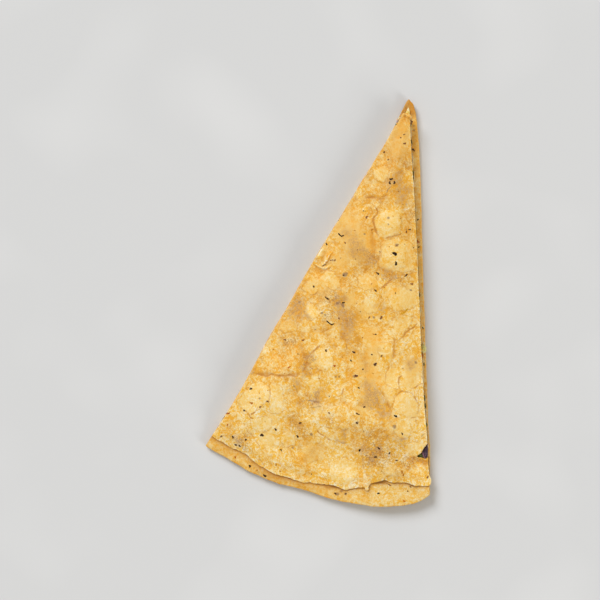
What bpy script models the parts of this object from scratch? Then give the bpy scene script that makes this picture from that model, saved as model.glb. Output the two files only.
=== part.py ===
"""One wedge of chicken quesadilla, lying flat: a flour tortilla below, a layer of chicken and
cheese, and a second tortilla draped over it. The tip points to +Y, the round rim to -Y."""

import math

import bmesh
import bpy
import numpy as np
from mathutils import Vector
from mathutils.geometry import delaunay_2d_cdt

MM = 0.001  # every size below is in millimetres

# Plan of the bottom tortilla: two knife cuts that meet at the blunt tip, and the round rim
TIP_LEFT = (37.0, 84.9)
TIP = (38.1, 86.0)
TIP_RIGHT = (39.2, 84.8)
RIGHT_CORNER = (46.8, -80.5)
LEFT_CORNER = (-47.5, -59.9)
BOTTOM_TIP = (TIP_LEFT, TIP, TIP_RIGHT)
BOTTOM_RIGHT_CUT = (
    TIP_RIGHT, (40.9, 81.3), (41.4, 77.9), (42.9, 58.0), (44.2, 13.2), (46.3, -47.3), (47.0, -60.0), (47.1, -70.0),
    RIGHT_CORNER,
)
BOTTOM_RIM = (
    RIGHT_CORNER, (42.7, -83.2), (35.7, -85.0), (26.5, -85.6), (17.5, -84.8), (4.9, -82.2), (-7.7, -78.3),
    (-23.7, -73.2), (-32.6, -68.9), (-40.1, -64.4), LEFT_CORNER,
)
BOTTOM_LEFT_CUT = (
    LEFT_CORNER, (-34.0, -38.6), (-21.0, -14.6), (-13.4, -2.0), (-5.2, 12.7), (3.4, 27.1), (13.1, 42.9),
    (23.1, 59.4), (30.7, 72.0), TIP_LEFT,
)

# Plan of the top tortilla: smaller, torn along the rim, with a tear in its right-hand cut
TOP_TIP_LEFT = (34.9, 79.0)
TOP_TIP_RIGHT = (37.4, 79.4)
TOP_RIGHT_CORNER = (47.3, -75.9)
TOP_LEFT_CORNER = (-44.9, -56.0)
TEAR_START = (45.6, -58.2)
TEAR_END = (46.2, -65.6)
TOP_TIP = (TOP_TIP_LEFT, (36.0, 79.8), TOP_TIP_RIGHT)
TOP_UPPER_CUT = (
    TOP_TIP_RIGHT, (39.0, 77.8), (38.9, 75.8), (39.3, 68.0), (40.3, 45.5), (42.3, 1.8), (43.8, -32.0),
    TEAR_START,
)
TOP_TEAR = (TEAR_START, (43.0, -61.6), (40.2, -64.8), TEAR_END)
TOP_LOWER_CUT = (TEAR_END, (46.5, -71.0), TOP_RIGHT_CORNER)
TOP_RIM = (
    TOP_RIGHT_CORNER, (41.0, -76.7), (36.0, -75.4), (28.1, -74.3), (22.0, -76.0), (20.6, -78.3),
    (12.0, -78.2), (7.4, -76.9), (0.7, -76.0), (-7.7, -75.0), (-18.7, -71.4), (-26.1, -67.3),
    (-31.3, -63.2), (-37.1, -60.4), TOP_LEFT_CORNER,
)
TOP_LEFT_CUT = (
    TOP_LEFT_CORNER, (-33.8, -38.7), (-20.7, -14.8), (-13.1, -2.2), (-5.0, 12.5), (3.6, 26.9), (13.4, 42.7),
    (23.3, 59.2), (30.9, 71.9), TOP_TIP_LEFT,
)

# Plan of the filling, which shows as a line between the tortillas at both cuts
FILLING_TIP_LEFT = (34.5, 77.6)
FILLING_TIP_RIGHT = (38.2, 77.2)
FILLING_RIGHT_CORNER = (46.1, -65.5)
FILLING_LEFT_CORNER = (-41.2, -50.4)
FILLING_TIP = (FILLING_TIP_LEFT, FILLING_TIP_RIGHT)
FILLING_RIGHT_CUT = (
    FILLING_TIP_RIGHT, (39.6, 70.0), (40.7, 45.5), (42.7, 1.8), (44.2, -32.0), FILLING_RIGHT_CORNER,
)
FILLING_RIM = (
    FILLING_RIGHT_CORNER, (38.0, -69.6), (20.0, -70.6), (0.0, -67.8), (-22.0, -61.0), FILLING_LEFT_CORNER,
)
FILLING_LEFT_CUT = (
    FILLING_LEFT_CORNER, (-33.4, -38.9), (-20.4, -15.0), (-12.8, -2.4), (-4.7, 12.3), (3.9, 26.8),
    (13.6, 42.5), (23.6, 59.0), (31.2, 71.6), FILLING_TIP_LEFT,
)

# Thicknesses
BOTTOM_THICKNESS = 2.2
TOP_THICKNESS = 2.0
FILLING_THICKNESS = 4.3  # what the middle gains over the rim
FILLING_EDGE = 1.3  # at the rim
CUT_SHARE = 0.45  # how much of that gain is left at a cut, where the knife pressed it
THINNEST_FILLING = 0.8
GAP = 0.35  # between two solids that touch
SLACK = 0.15  # more of it under the top tortilla, which spans from point to point
EDGE_ROUND = 0.35

# Distances in from the bottom tortilla's rim
FILLING_STARTS = 11.0
FILLING_FULL = 36.0
TOP_LIES_DOWN = 4.5
CUT_SLOPE = 15.0  # distance in from a cut over which the filling reaches its full height
RIM_SLANT = 0.95  # distance from the rim for each step along Y, as the rim crosses at a slant

# The bottom tortilla's rim and tip curl up from the surface that it lies on
RIM_LIFT_LEFT = 0.9
RIM_LIFT_RIGHT = 3.4
RIM_LIFT_REACH = 17.0
RIM_LIFT_GROWS = (-12.0, 38.0)  # the X range over which the lift changes from left to right
TIP_LIFT = 1.4
TIP_LIFT_REACH = 15.0

# Pieces of chicken under the top tortilla raise it: (x, y, radius, height)
LUMPS = (
    (32.0, 33.0, 6.5, 1.5), (33.5, 20.0, 6.5, 1.3), (36.0, 3.0, 7.0, 1.2), (13.5, 28.0, 8.0, 1.2),
    (2.6, 20.0, 4.2, 1.7), (24.0, 3.0, 7.0, 0.9), (5.5, -22.5, 8.5, 1.6), (27.5, -19.0, 6.0, 1.4),
    (38.0, -38.0, 6.5, 1.3), (-14.5, -31.0, 8.0, 1.2), (-7.0, -56.0, 9.0, 1.3), (12.0, -47.0, 7.0, 0.8),
    (27.0, -55.0, 9.0, 1.0), (39.5, -55.5, 5.5, 1.1), (-28.0, -49.0, 6.0, 0.9), (30.0, 58.0, 5.5, 0.8),
    (-8.0, -8.0, 6.5, 1.1),
)
SWELLS = ((24.0, 0.55, 7), (12.0, 0.3, 8))  # (wavelength, height, seed) of those between them
BOTTOM_SWELL = (9.0, 0.16, 3)
TOP_SWELL = (9.0, 0.16, 4)

# The top tortilla lies a little loose along its torn rim
LOOSE_EDGE = 0.2
LOOSE_SWELL = (14.0, 0.25, 5)

# Under the tear the filling is hollow
HOLLOW_AT = (44.5, -62.2)
HOLLOW_SPREAD = (7.5, 6.5)
HOLLOW_DEPTH = 1.8

# How far an edge wanders: (size, wavelength, seed)
BOTTOM_RAGGED = (0.25, 11.0, 21)
TOP_RAGGED = (0.22, 7.0, 22)
FILLING_RAGGED = (0.35, 5.0, 23)

LATTICE = 3.5  # spacing of the points inside the top tortilla's faces
COARSE_LATTICE = 4.2  # and inside those of the solids below it
CUT_STEP = 3.4  # spacing of the points along a clean edge
TORN_STEP = 2.0
TIP_STEP = 1.0

# Pieces that stick out of the filling at the cuts
CHUNK_EVERY = 4.6
CHUNK_SLIDE = 1.4
CHUNK_LENGTH = (3.0, 6.0)
CHUNK_DEPTH = (1.2, 2.2)
CHUNK_HEIGHT = (0.4, 0.75)  # as shares of the filling's thickness there
CHUNK_TURN = 0.35  # radians, either way from the cut's direction
CHUNK_ROUGHNESS = 0.25
CHUNK_SEED = 11

# Pieces that show by themselves: (name, (x, y), full sizes, turn about z, colour, roughness)
ON_FILLING = (
    ("red_onion", (44.75, -61.4), (2.7, 5.6, 1.5), -0.15, (0.10, 0.03, 0.07), 0.35),
    ("green_pepper", (42.6, -64.5), (2.6, 1.5, 1.0), 0.1, (0.05, 0.12, 0.02), 0.4),
)
ON_LEDGE = (
    ("cheese_crumb", (44.9, -19.3), (1.7, 3.2, 1.4), 0.1, (0.72, 0.68, 0.33), 0.45),
    ("cheese_sliver", (37.9, 81.3), (1.3, 2.7, 1.0), -0.15, (0.86, 0.76, 0.42), 0.45),
)
SMALL_GAP = 0.45  # below those pieces, whose seat is uneven
SMALL_ROUGHNESS = 0.15
CHUNKS_KEEP_AWAY = 4.0  # from their middles


def step(t):
    """Rises smoothly from 0 at t = 0 to 1 at t = 1."""
    t = np.clip(t, 0.0, 1.0)
    return t * t * (3.0 - 2.0 * t)


def noise(x, y, wavelength, seed):
    """Smooth gradient noise from about -1 to 1."""
    u, v = x / wavelength, y / wavelength
    column, row = np.floor(u), np.floor(v)
    s, t = u - column, v - row

    def slope_at(right, up):
        turn = np.sin((column + right) * 127.1 + (row + up) * 311.7 + seed * 74.7) * 43758.5453
        turn = (turn - np.floor(turn)) * 2.0 * math.pi
        return np.cos(turn) * (s - right) + np.sin(turn) * (t - up)

    ease_s, ease_t = step(s), step(t)
    lower = slope_at(0, 0) * (1 - ease_s) + slope_at(1, 0) * ease_s
    upper = slope_at(0, 1) * (1 - ease_s) + slope_at(1, 1) * ease_s
    return 1.5 * (lower * (1 - ease_t) + upper * ease_t)


def swell(x, y, waves):
    """A gentle rise and fall, given as (wavelength, height, seed)."""
    wavelength, height, seed = waves
    return height * noise(x, y, wavelength, seed)


def curve(points, spacing):
    """Points about `spacing` apart on a smooth curve through `points`, without the last one."""
    knots = [Vector(p) for p in points]
    before = knots[0] * 2 - knots[1]
    after = knots[-1] * 2 - knots[-2]
    knots = [before] + knots + [after]
    fine = []
    for a, b, c, d in zip(knots, knots[1:], knots[2:], knots[3:]):
        pieces = max(2, round((c - b).length / 0.5))
        for k in range(pieces):
            t = k / pieces
            fine.append(0.5 * (2 * b + (c - a) * t + (2 * a - 5 * b + 4 * c - d) * t ** 2
                               + (3 * b - a - 3 * c + d) * t ** 3))
    fine = np.array([*fine, knots[-2]])
    along = np.concatenate([[0.0], np.cumsum(np.linalg.norm(np.diff(fine, axis=0), axis=1))])
    count = max(1, round(along[-1] / spacing))
    wanted = np.linspace(0.0, along[-1], count + 1)[:-1]
    return np.stack([np.interp(wanted, along, fine[:, axis]) for axis in (0, 1)], axis=1)


def outline(sides):
    """A closed counter-clockwise loop from sides of (points, spacing), listed clockwise."""
    return np.concatenate([curve(points, spacing) for points, spacing in sides])[::-1]


def outward(loop):
    """Unit normals of a counter-clockwise loop, pointing out of it."""
    along = np.roll(loop, -1, axis=0) - np.roll(loop, 1, axis=0)
    normals = np.stack([along[:, 1], -along[:, 0]], axis=1)
    return normals / np.linalg.norm(normals, axis=1)[:, None]


def ragged(loop, wander):
    """The loop with its points moved in and out by noise, as a torn or cut edge is."""
    size, wavelength, seed = wander
    shift = size * noise(loop[:, 0], loop[:, 1], wavelength, seed)
    return loop + outward(loop) * shift[:, None]


RIM_CURVE = curve(BOTTOM_RIM, 1.0)[::-1]
RIGHT_CUT_CURVE = curve(BOTTOM_RIGHT_CUT, 1.0)[::-1]


def from_rim(x, y):
    """Distance in from the bottom tortilla's rim."""
    return (y - np.interp(x, RIM_CURVE[:, 0], RIM_CURVE[:, 1])) * RIM_SLANT


def from_cuts(x, y):
    """Distance in from the nearer of the two cuts."""
    along = Vector(TIP_LEFT) - Vector(LEFT_CORNER)
    along.normalize()
    left = (x - LEFT_CORNER[0]) * along.y - (y - LEFT_CORNER[1]) * along.x
    right = np.interp(y, RIGHT_CUT_CURVE[:, 1], RIGHT_CUT_CURVE[:, 0]) - x
    return np.maximum(0.0, np.minimum(left, right))


def bottom_under(x, y):
    """Underside of the bottom tortilla: flat, apart from the rim and tip that curl up."""
    grows_from, grows_to = RIM_LIFT_GROWS
    to_right = step((x - grows_from) / (grows_to - grows_from))
    rim_lift = RIM_LIFT_LEFT + (RIM_LIFT_RIGHT - RIM_LIFT_LEFT) * to_right
    at_rim = np.clip(1.0 - from_rim(x, y) / RIM_LIFT_REACH, 0.0, 1.2)
    at_tip = np.clip(1.0 - (TIP[1] - y) / TIP_LIFT_REACH, 0.0, 1.0)
    return rim_lift * at_rim ** 2 + TIP_LIFT * at_tip ** 2


def bottom_over(x, y):
    """Upper face of the bottom tortilla."""
    return bottom_under(x, y) + BOTTOM_THICKNESS + swell(x, y, BOTTOM_SWELL)


def lumps(x, y):
    """How far the pieces of filling raise what lies on them."""
    raised = sum(h * np.exp(-((x - cx) ** 2 + (y - cy) ** 2) / r ** 2) for cx, cy, r, h in LUMPS)
    return raised + sum(swell(x, y, waves) for waves in SWELLS)


def filling_depth(x, y):
    """Thickness of the filling, thin at the rim and pressed at the cuts."""
    inside = step((from_rim(x, y) - FILLING_STARTS) / (FILLING_FULL - FILLING_STARTS))
    pressed = CUT_SHARE + (1.0 - CUT_SHARE) * step(from_cuts(x, y) / CUT_SLOPE)
    return np.maximum(1.0, FILLING_EDGE + inside * pressed * (FILLING_THICKNESS + lumps(x, y)))


def filling_under(x, y):
    return bottom_over(x, y) + GAP


def filling_over(x, y):
    """Upper face of the filling. It is hollowed under the tear, where onion and pepper lie on it."""
    aside = ((x - HOLLOW_AT[0]) / HOLLOW_SPREAD[0]) ** 2 + ((y - HOLLOW_AT[1]) / HOLLOW_SPREAD[1]) ** 2
    hollow = HOLLOW_DEPTH * np.exp(-aside)
    return filling_under(x, y) + np.maximum(THINNEST_FILLING, filling_depth(x, y) - hollow)


def top_under(x, y):
    """Underside of the top tortilla: on the filling, then down onto the bottom tortilla's rim."""
    share = step((from_rim(x, y) - TOP_LIES_DOWN) / (FILLING_STARTS - TOP_LIES_DOWN))
    loose_edge = LOOSE_EDGE + swell(x, y, LOOSE_SWELL)
    on_filling = filling_depth(x, y) + GAP + SLACK
    return bottom_over(x, y) + GAP + share * on_filling + (1.0 - share) * loose_edge


def top_over(x, y):
    return top_under(x, y) + TOP_THICKNESS + swell(x, y, TOP_SWELL)


def within(points, loop, margin):
    """Which points lie inside the loop and at least `margin` from its edge."""
    start, end = loop, np.roll(loop, -1, axis=0)
    x, y = points[:, 0, None], points[:, 1, None]
    crosses = (start[:, 1] > y) != (end[:, 1] > y)
    rise = np.where(end[:, 1] == start[:, 1], 1.0, end[:, 1] - start[:, 1])
    at = start[:, 0] + (y - start[:, 1]) * (end[:, 0] - start[:, 0]) / rise
    inside = (crosses & (x < at)).sum(axis=1) % 2 == 1
    along = end - start
    t = ((x - start[:, 0]) * along[:, 0] + (y - start[:, 1]) * along[:, 1]) / (along ** 2).sum(axis=1)
    t = np.clip(t, 0.0, 1.0)
    away = np.hypot(x - start[:, 0] - t * along[:, 0], y - start[:, 1] - t * along[:, 1])
    return inside & (away.min(axis=1) > margin)


def lattice(loop, spacing):
    """Points of one fixed triangular lattice that lie inside the loop."""
    row_height = spacing * math.sqrt(0.75)
    low, high = loop.min(axis=0), loop.max(axis=0)
    points = []
    for row in range(math.floor(low[1] / row_height), math.ceil(high[1] / row_height) + 1):
        shift = 0.5 * (row % 2)
        for column in range(math.floor(low[0] / spacing) - 1, math.ceil(high[0] / spacing) + 1):
            points.append(((column + shift) * spacing, row * row_height))
    points = np.array(points)
    return points[within(points, loop, 0.5 * spacing)]


def flat_triangles(loop, inner):
    """Triangles over the loop's area, as indices into the loop's points and then the inner ones."""
    points = [Vector(p) for p in np.concatenate([loop, inner])]
    ring = list(range(len(loop)))
    made = delaunay_2d_cdt(points, [], [ring], 1, 1e-6)
    return [[made[3][corner][0] for corner in face] for face in made[2]]


def slab(name, loop, under, over, spacing):
    """A closed thin solid between two heights, with both faces split into triangles alike and a
    rounded edge."""
    edge = loop - outward(loop) * EDGE_ROUND
    inner = lattice(edge, spacing)
    plan = np.concatenate([edge, inner])
    low, high = under(plan[:, 0], plan[:, 1]), over(plan[:, 0], plan[:, 1])
    middle = (low + high)[:len(loop)] / 2
    mesh = bmesh.new()
    below = [mesh.verts.new((x * MM, y * MM, z * MM)) for (x, y), z in zip(plan, low)]
    above = [mesh.verts.new((x * MM, y * MM, z * MM)) for (x, y), z in zip(plan, high)]
    belt = [mesh.verts.new((x * MM, y * MM, z * MM)) for (x, y), z in zip(loop, middle)]
    for a, b, c in flat_triangles(edge, inner):
        mesh.faces.new((above[a], above[b], above[c]))
        mesh.faces.new((below[c], below[b], below[a]))
    count = len(loop)
    for k in range(count):
        n = (k + 1) % count
        for lower, upper in ((below, belt), (belt, above)):
            mesh.faces.new((lower[k], lower[n], upper[n]))
            mesh.faces.new((lower[k], upper[n], upper[k]))
    return finished(name, mesh)


def finished(name, mesh):
    """Turns a bmesh into a smooth-shaded object of the scene."""
    bmesh.ops.recalc_face_normals(mesh, faces=mesh.faces)
    data = bpy.data.meshes.new(name)
    mesh.to_mesh(data)
    mesh.free()
    data.shade_smooth()
    data.set_sharp_from_angle(angle=math.radians(50))
    made = bpy.data.objects.new(name, data)
    bpy.context.scene.collection.objects.link(made)
    return made


def lump(name, place, size, turn, detail, roughness, seed):
    """A rounded piece of food with the given full sizes, turned about Z and dented by noise."""
    mesh = bmesh.new()
    bmesh.ops.create_icosphere(mesh, subdivisions=detail, radius=0.5)
    for vertex in mesh.verts:
        dent = float(noise(vertex.co.x * 9.0 + vertex.co.z * 4.0, vertex.co.y * 9.0, 3.0, seed))
        vertex.co *= 1.0 + roughness * dent
        vertex.co.x *= size[0] * MM
        vertex.co.y *= size[1] * MM
        vertex.co.z *= size[2] * MM
    made = finished(name, mesh)
    made.location = Vector(place) * MM
    made.rotation_euler.z = turn
    return made


def paint(piece, colour, roughness):
    """Gives the piece its own food-coloured material."""
    material = bpy.data.materials.new(piece.name)
    material.use_nodes = True
    shader = material.node_tree.nodes["Principled BSDF"]
    shader.inputs["Base Color"].default_value = (*colour, 1.0)
    shader.inputs["Roughness"].default_value = roughness
    shader.inputs["Metallic"].default_value = 0.0
    piece.data.materials.clear()
    piece.data.materials.append(material)


def bottom_tortilla():
    sides = (
        (BOTTOM_TIP, TIP_STEP), (BOTTOM_RIGHT_CUT, CUT_STEP), (BOTTOM_RIM, CUT_STEP),
        (BOTTOM_LEFT_CUT, CUT_STEP),
    )
    loop = ragged(outline(sides), BOTTOM_RAGGED)
    piece = slab("bottom_tortilla", loop, bottom_under, bottom_over, COARSE_LATTICE)
    paint(piece, (0.80, 0.52, 0.20), 0.7)


def top_tortilla():
    sides = (
        (TOP_TIP, TIP_STEP), (TOP_UPPER_CUT, CUT_STEP), (TOP_TEAR, TORN_STEP),
        (TOP_LOWER_CUT, TORN_STEP), (TOP_RIM, TORN_STEP), (TOP_LEFT_CUT, CUT_STEP),
    )
    loop = ragged(outline(sides), TOP_RAGGED)
    piece = slab("top_tortilla", loop, top_under, top_over, LATTICE)
    paint(piece, (0.86, 0.58, 0.24), 0.7)


def chunks_along(points, draws):
    """Pieces of chicken and cheese half sunk in the filling along one cut."""
    spots = curve(points, CHUNK_EVERY)[1:]
    ahead = np.roll(spots, -1, axis=0) - spots
    ahead[-1] = ahead[-2]
    made = []
    for k, ((x, y), (dx, dy)) in enumerate(zip(spots, ahead)):
        heading = math.atan2(dy, dx) + draws.uniform(-CHUNK_TURN, CHUNK_TURN)
        slide = draws.uniform(-CHUNK_SLIDE, CHUNK_SLIDE) / math.hypot(dx, dy)
        x, y = x + dx * slide, y + dy * slide
        if any(math.dist((x, y), piece[1]) < CHUNKS_KEEP_AWAY for piece in ON_FILLING + ON_LEDGE):
            continue
        low, high = float(filling_under(x, y)), float(filling_over(x, y))
        tall = (high - low) * draws.uniform(*CHUNK_HEIGHT)
        size = (draws.uniform(*CHUNK_LENGTH), draws.uniform(*CHUNK_DEPTH), tall)
        rise = (high - low - tall) * draws.uniform(0.2, 0.8) + tall / 2
        made.append(lump("chunk", (x, y, low + rise), size, heading, 1, CHUNK_ROUGHNESS, k))
    return made


def filling():
    """The layer of chicken and cheese, with the pieces that show at the two cuts joined on."""
    sides = (
        (FILLING_TIP, CUT_STEP), (FILLING_RIGHT_CUT, CUT_STEP), (FILLING_RIM, CUT_STEP),
        (FILLING_LEFT_CUT, CUT_STEP),
    )
    loop = ragged(outline(sides), FILLING_RAGGED)
    core = slab("filling", loop, filling_under, filling_over, COARSE_LATTICE)
    draws = np.random.default_rng(CHUNK_SEED)
    chunks = chunks_along(FILLING_RIGHT_CUT, draws) + chunks_along(FILLING_LEFT_CUT, draws)
    join(core, chunks)
    paint(core, (0.74, 0.60, 0.40), 0.5)


def join(core, extras):
    """Unites the extra solids with the core and removes them."""
    group = bpy.data.collections.new("extras")
    for extra in extras:
        group.objects.link(extra)
        bpy.context.scene.collection.objects.unlink(extra)
    bpy.context.scene.collection.children.link(group)
    union = core.modifiers.new("join", "BOOLEAN")
    union.operation = "UNION"
    union.operand_type = "COLLECTION"
    union.collection = group
    bpy.context.view_layer.objects.active = core
    bpy.context.view_layer.update()
    bpy.ops.object.modifier_apply(modifier=union.name)
    for extra in extras:
        bpy.data.objects.remove(extra)
    bpy.data.collections.remove(group)


def small_pieces():
    """The pieces of filling that show by themselves: at the tear, on the ledge and at the tip."""
    for pieces, surface in ((ON_FILLING, filling_over), (ON_LEDGE, bottom_over)):
        for k, (name, (x, y), size, turn, colour, roughness) in enumerate(pieces):
            height = float(surface(x, y)) + SMALL_GAP + size[2] / 2
            piece = lump(name, (x, y, height), size, turn, 2, SMALL_ROUGHNESS, k)
            paint(piece, colour, roughness)


def main():
    for old in list(bpy.data.objects):
        bpy.data.objects.remove(old)
    bottom_tortilla()
    filling()
    top_tortilla()
    small_pieces()


main()
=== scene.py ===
"""The looks of one wedge of chicken quesadilla: two toasted flour tortillas with melted cheese,
chicken, onion, pepper and herbs between them. Sizes are in millimetres until a mesh is made."""

import math

import bmesh
import bpy
import numpy as np
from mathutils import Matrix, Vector
from mathutils.geometry import delaunay_2d_cdt
from mathutils.kdtree import KDTree


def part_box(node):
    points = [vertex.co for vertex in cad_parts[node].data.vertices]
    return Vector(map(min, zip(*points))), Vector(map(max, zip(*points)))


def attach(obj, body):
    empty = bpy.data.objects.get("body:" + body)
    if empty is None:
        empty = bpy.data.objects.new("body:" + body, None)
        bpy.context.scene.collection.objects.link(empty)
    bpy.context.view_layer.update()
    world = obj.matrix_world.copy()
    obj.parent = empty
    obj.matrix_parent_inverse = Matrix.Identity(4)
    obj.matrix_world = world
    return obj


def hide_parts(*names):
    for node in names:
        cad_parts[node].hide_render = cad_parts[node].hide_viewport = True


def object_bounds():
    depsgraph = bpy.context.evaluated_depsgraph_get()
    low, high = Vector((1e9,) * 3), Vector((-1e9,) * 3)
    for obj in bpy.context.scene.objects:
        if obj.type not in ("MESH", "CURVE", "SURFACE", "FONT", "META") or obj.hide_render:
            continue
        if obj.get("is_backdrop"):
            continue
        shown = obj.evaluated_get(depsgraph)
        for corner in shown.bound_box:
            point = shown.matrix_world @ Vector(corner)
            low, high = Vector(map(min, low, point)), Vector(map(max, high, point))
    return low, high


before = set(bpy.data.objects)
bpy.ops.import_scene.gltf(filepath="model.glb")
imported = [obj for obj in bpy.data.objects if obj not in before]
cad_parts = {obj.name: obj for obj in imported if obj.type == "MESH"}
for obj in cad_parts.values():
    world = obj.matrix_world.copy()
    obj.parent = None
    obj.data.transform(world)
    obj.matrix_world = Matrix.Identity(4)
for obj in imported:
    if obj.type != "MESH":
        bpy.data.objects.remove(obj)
CAD_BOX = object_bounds()

MM = 0.001

# The photograph looks straight down. Places on the wedge are given in its pixels.
PIXEL = 0.42  # millimetres
PHOTO_ORIGIN = (318.4, 303.4)  # the pixel above the frame's origin
PHOTO_CENTRE = (300.0, 300.0)
PHOTO_SIDE = 600
CAMERA_HEIGHT = 1000.0
SHARP_HEIGHT = 6.0  # the height at which a pixel is PIXEL across
SENSOR = 36.0

# Lights: (place, size, watts, colour)
KEY_LIGHT = ((-7200.0, 10400.0, 10400.0), 8400.0, 2050.0, (0.985, 1.0, 1.02))
FILL_LIGHT = ((4000.0, -3200.0, 2600.0), 2800.0, 120.0, (1.0, 0.97, 0.90))
SKY_COLOUR = (1.0, 0.92, 0.80)
SKY_STRENGTH = 0.46
FLOOR_REACH = 1500.0
FLOOR_COLOURS = ((0.64, 0.66, 0.69), (0.68, 0.70, 0.73))

# Plan of the bottom tortilla: two knife cuts that meet at the blunt tip, and the round rim
TIP_LEFT = (37.0, 84.9)
TIP = (38.1, 86.0)
TIP_RIGHT = (39.2, 84.8)
RIGHT_CORNER = (46.8, -80.5)
LEFT_CORNER = (-47.5, -59.9)
BOTTOM_TIP = (TIP_LEFT, TIP, TIP_RIGHT)
BOTTOM_RIGHT_CUT = (
    TIP_RIGHT, (40.1, 83.8), (40.8, 81.4), (41.4, 77.9), (42.9, 58.0), (44.2, 13.2), (46.3, -47.3),
    (47.0, -60.0), (47.1, -70.0), RIGHT_CORNER,
)
BOTTOM_RIM = (
    RIGHT_CORNER, (45.0, -81.8), (42.7, -83.2), (40.4, -84.1), (35.7, -85.0), (30.1, -85.5), (25.9, -85.6),
    (21.7, -85.3), (13.3, -84.0), (4.9, -82.2), (-3.5, -79.5), (-7.7, -78.2), (-14.0, -76.7), (-17.5, -75.9),
    (-23.7, -73.2), (-29.9, -70.6), (-32.6, -68.9), (-40.1, -64.4), (-46.2, -61.0), LEFT_CORNER,
)
BOTTOM_LEFT_CUT = (
    LEFT_CORNER, (-34.0, -38.6), (-21.0, -14.6), (-13.4, -2.0), (-5.2, 12.7), (3.4, 27.1), (13.1, 42.9),
    (23.1, 59.4), (30.7, 72.0), TIP_LEFT,
)

# Plan of the top tortilla: smaller, torn short at the tip and along the rim, torn in its right-hand cut
TOP_TIP_LEFT = (34.9, 78.6)
TOP_TIP_RIGHT = (38.2, 79.4)
TOP_RIGHT_CORNER = (47.1, -76.5)
TOP_LEFT_CORNER = (-44.9, -56.0)
TEAR_START = (45.8, -58.8)
TEAR_END = (46.15, -64.9)
TOP_TIP = (TOP_TIP_LEFT, (35.7, 79.85), (36.4, 79.3), (37.0, 79.55), TOP_TIP_RIGHT)
TOP_UPPER_CUT = (
    TOP_TIP_RIGHT, (39.1, 78.4), (39.2, 77.5), (38.6, 76.2), (38.6, 73.3), (38.8, 69.6), (38.95, 64.2),
    (39.2, 59.0), (40.2, 45.5), (42.3, 1.8), (43.8, -32.0), TEAR_START,
)
TOP_TEAR = (
    TEAR_START, (44.8, -60.4), (43.8, -61.8), (43.0, -62.9), (41.9, -63.6), (41.5, -64.4), (42.9, -64.9),
    (44.1, -65.1), (45.2, -65.4), TEAR_END,
)
TOP_LOWER_CUT = (TEAR_END, (46.2, -68.5), (46.7, -71.0), (47.1, -73.2), (47.5, -75.3), TOP_RIGHT_CORNER)
TOP_RIM = (
    TOP_RIGHT_CORNER, (43.5, -76.9), (39.7, -76.4), (36.0, -75.4), (30.5, -75.4), (28.0, -74.3),
    (25.0, -75.1), (22.1, -75.9), (21.5, -76.9), (21.1, -78.5), (20.4, -78.6), (19.6, -77.8), (18.3, -77.5),
    (13.7, -78.0), (10.8, -78.4), (7.4, -76.9), (4.9, -76.4), (-3.5, -75.6), (-7.7, -75.1), (-11.9, -73.5),
    (-18.7, -71.6), (-26.1, -67.4), (-31.3, -63.2), (-37.1, -60.5), (-40.5, -58.4), TOP_LEFT_CORNER,
)
TOP_LEFT_CUT = (
    TOP_LEFT_CORNER, (-33.8, -38.7), (-20.7, -14.8), (-13.1, -2.2), (-5.0, 12.5), (3.6, 26.9), (13.4, 42.7),
    (23.3, 59.2), (30.9, 71.9), (33.3, 75.8), TOP_TIP_LEFT,
)

# Plan of the filling, which shows as a line between the tortillas at both cuts
FILLING_TIP_LEFT = (34.5, 77.6)
FILLING_TIP_RIGHT = (38.2, 77.2)
FILLING_RIGHT_CORNER = (46.1, -65.5)
FILLING_LEFT_CORNER = (-41.2, -50.4)
FILLING_TIP = (FILLING_TIP_LEFT, FILLING_TIP_RIGHT)
FILLING_RIGHT_CUT = (
    FILLING_TIP_RIGHT, (38.7, 70.0), (39.9, 45.5), (41.9, 1.8), (43.4, -32.0), FILLING_RIGHT_CORNER,
)
FILLING_RIM = (
    FILLING_RIGHT_CORNER, (38.0, -69.6), (20.0, -70.6), (0.0, -67.8), (-22.0, -61.0), FILLING_LEFT_CORNER,
)
FILLING_LEFT_CUT = (
    FILLING_LEFT_CORNER, (-33.4, -38.9), (-20.4, -15.0), (-12.8, -2.4), (-4.7, 12.3), (3.9, 26.8),
    (13.6, 42.5), (23.6, 59.0), (31.2, 71.6), FILLING_TIP_LEFT,
)

# Thicknesses
BOTTOM_THICKNESS = 2.2
TOP_THICKNESS = 2.0
FILLING_THICKNESS = 4.3  # what the middle gains over the rim
FILLING_EDGE = 0.3  # at the rim
CUT_SHARE = 0.45  # how much of that gain is left at a cut, where the knife pressed it
THINNEST_FILLING = 0.3
GAP = 0.35  # between two layers
SLACK = 0.15  # more of it between the filling and the top tortilla

# How far in an edge is rounded
EDGE_ROUND = 0.3
DOUGH_ROUND = 0.14
SLICE_ROUND = 0.07

# How far crumbs stand out of an edge, with TORN_CRUMBS added where the top tortilla is torn
TOP_CRUMBS = 0.16
TORN_CRUMBS = 0.14
BOTTOM_CRUMBS = 0.14
CHEESE_CRUMBS = 0.5
SLICE_CRUMBS = 0.03

# Distances in from the bottom tortilla's rim
FILLING_STARTS = 11.0
FILLING_FULL = 36.0
TOP_LIES_DOWN = 4.5
CUT_SLOPE = 15.0  # in from a cut instead
RIM_SLANT = 0.95  # of the distance along Y, as the rim runs aslant

# The bottom tortilla's rim and tip curl up from the surface that it lies on
RIM_LIFT_LEFT = 0.9
RIM_LIFT_RIGHT = 3.4
RIM_LIFT_REACH = 17.0
RIM_LIFT_GROWS = (-12.0, 38.0)
TIP_LIFT = 1.4
TIP_LIFT_REACH = 15.0

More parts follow.
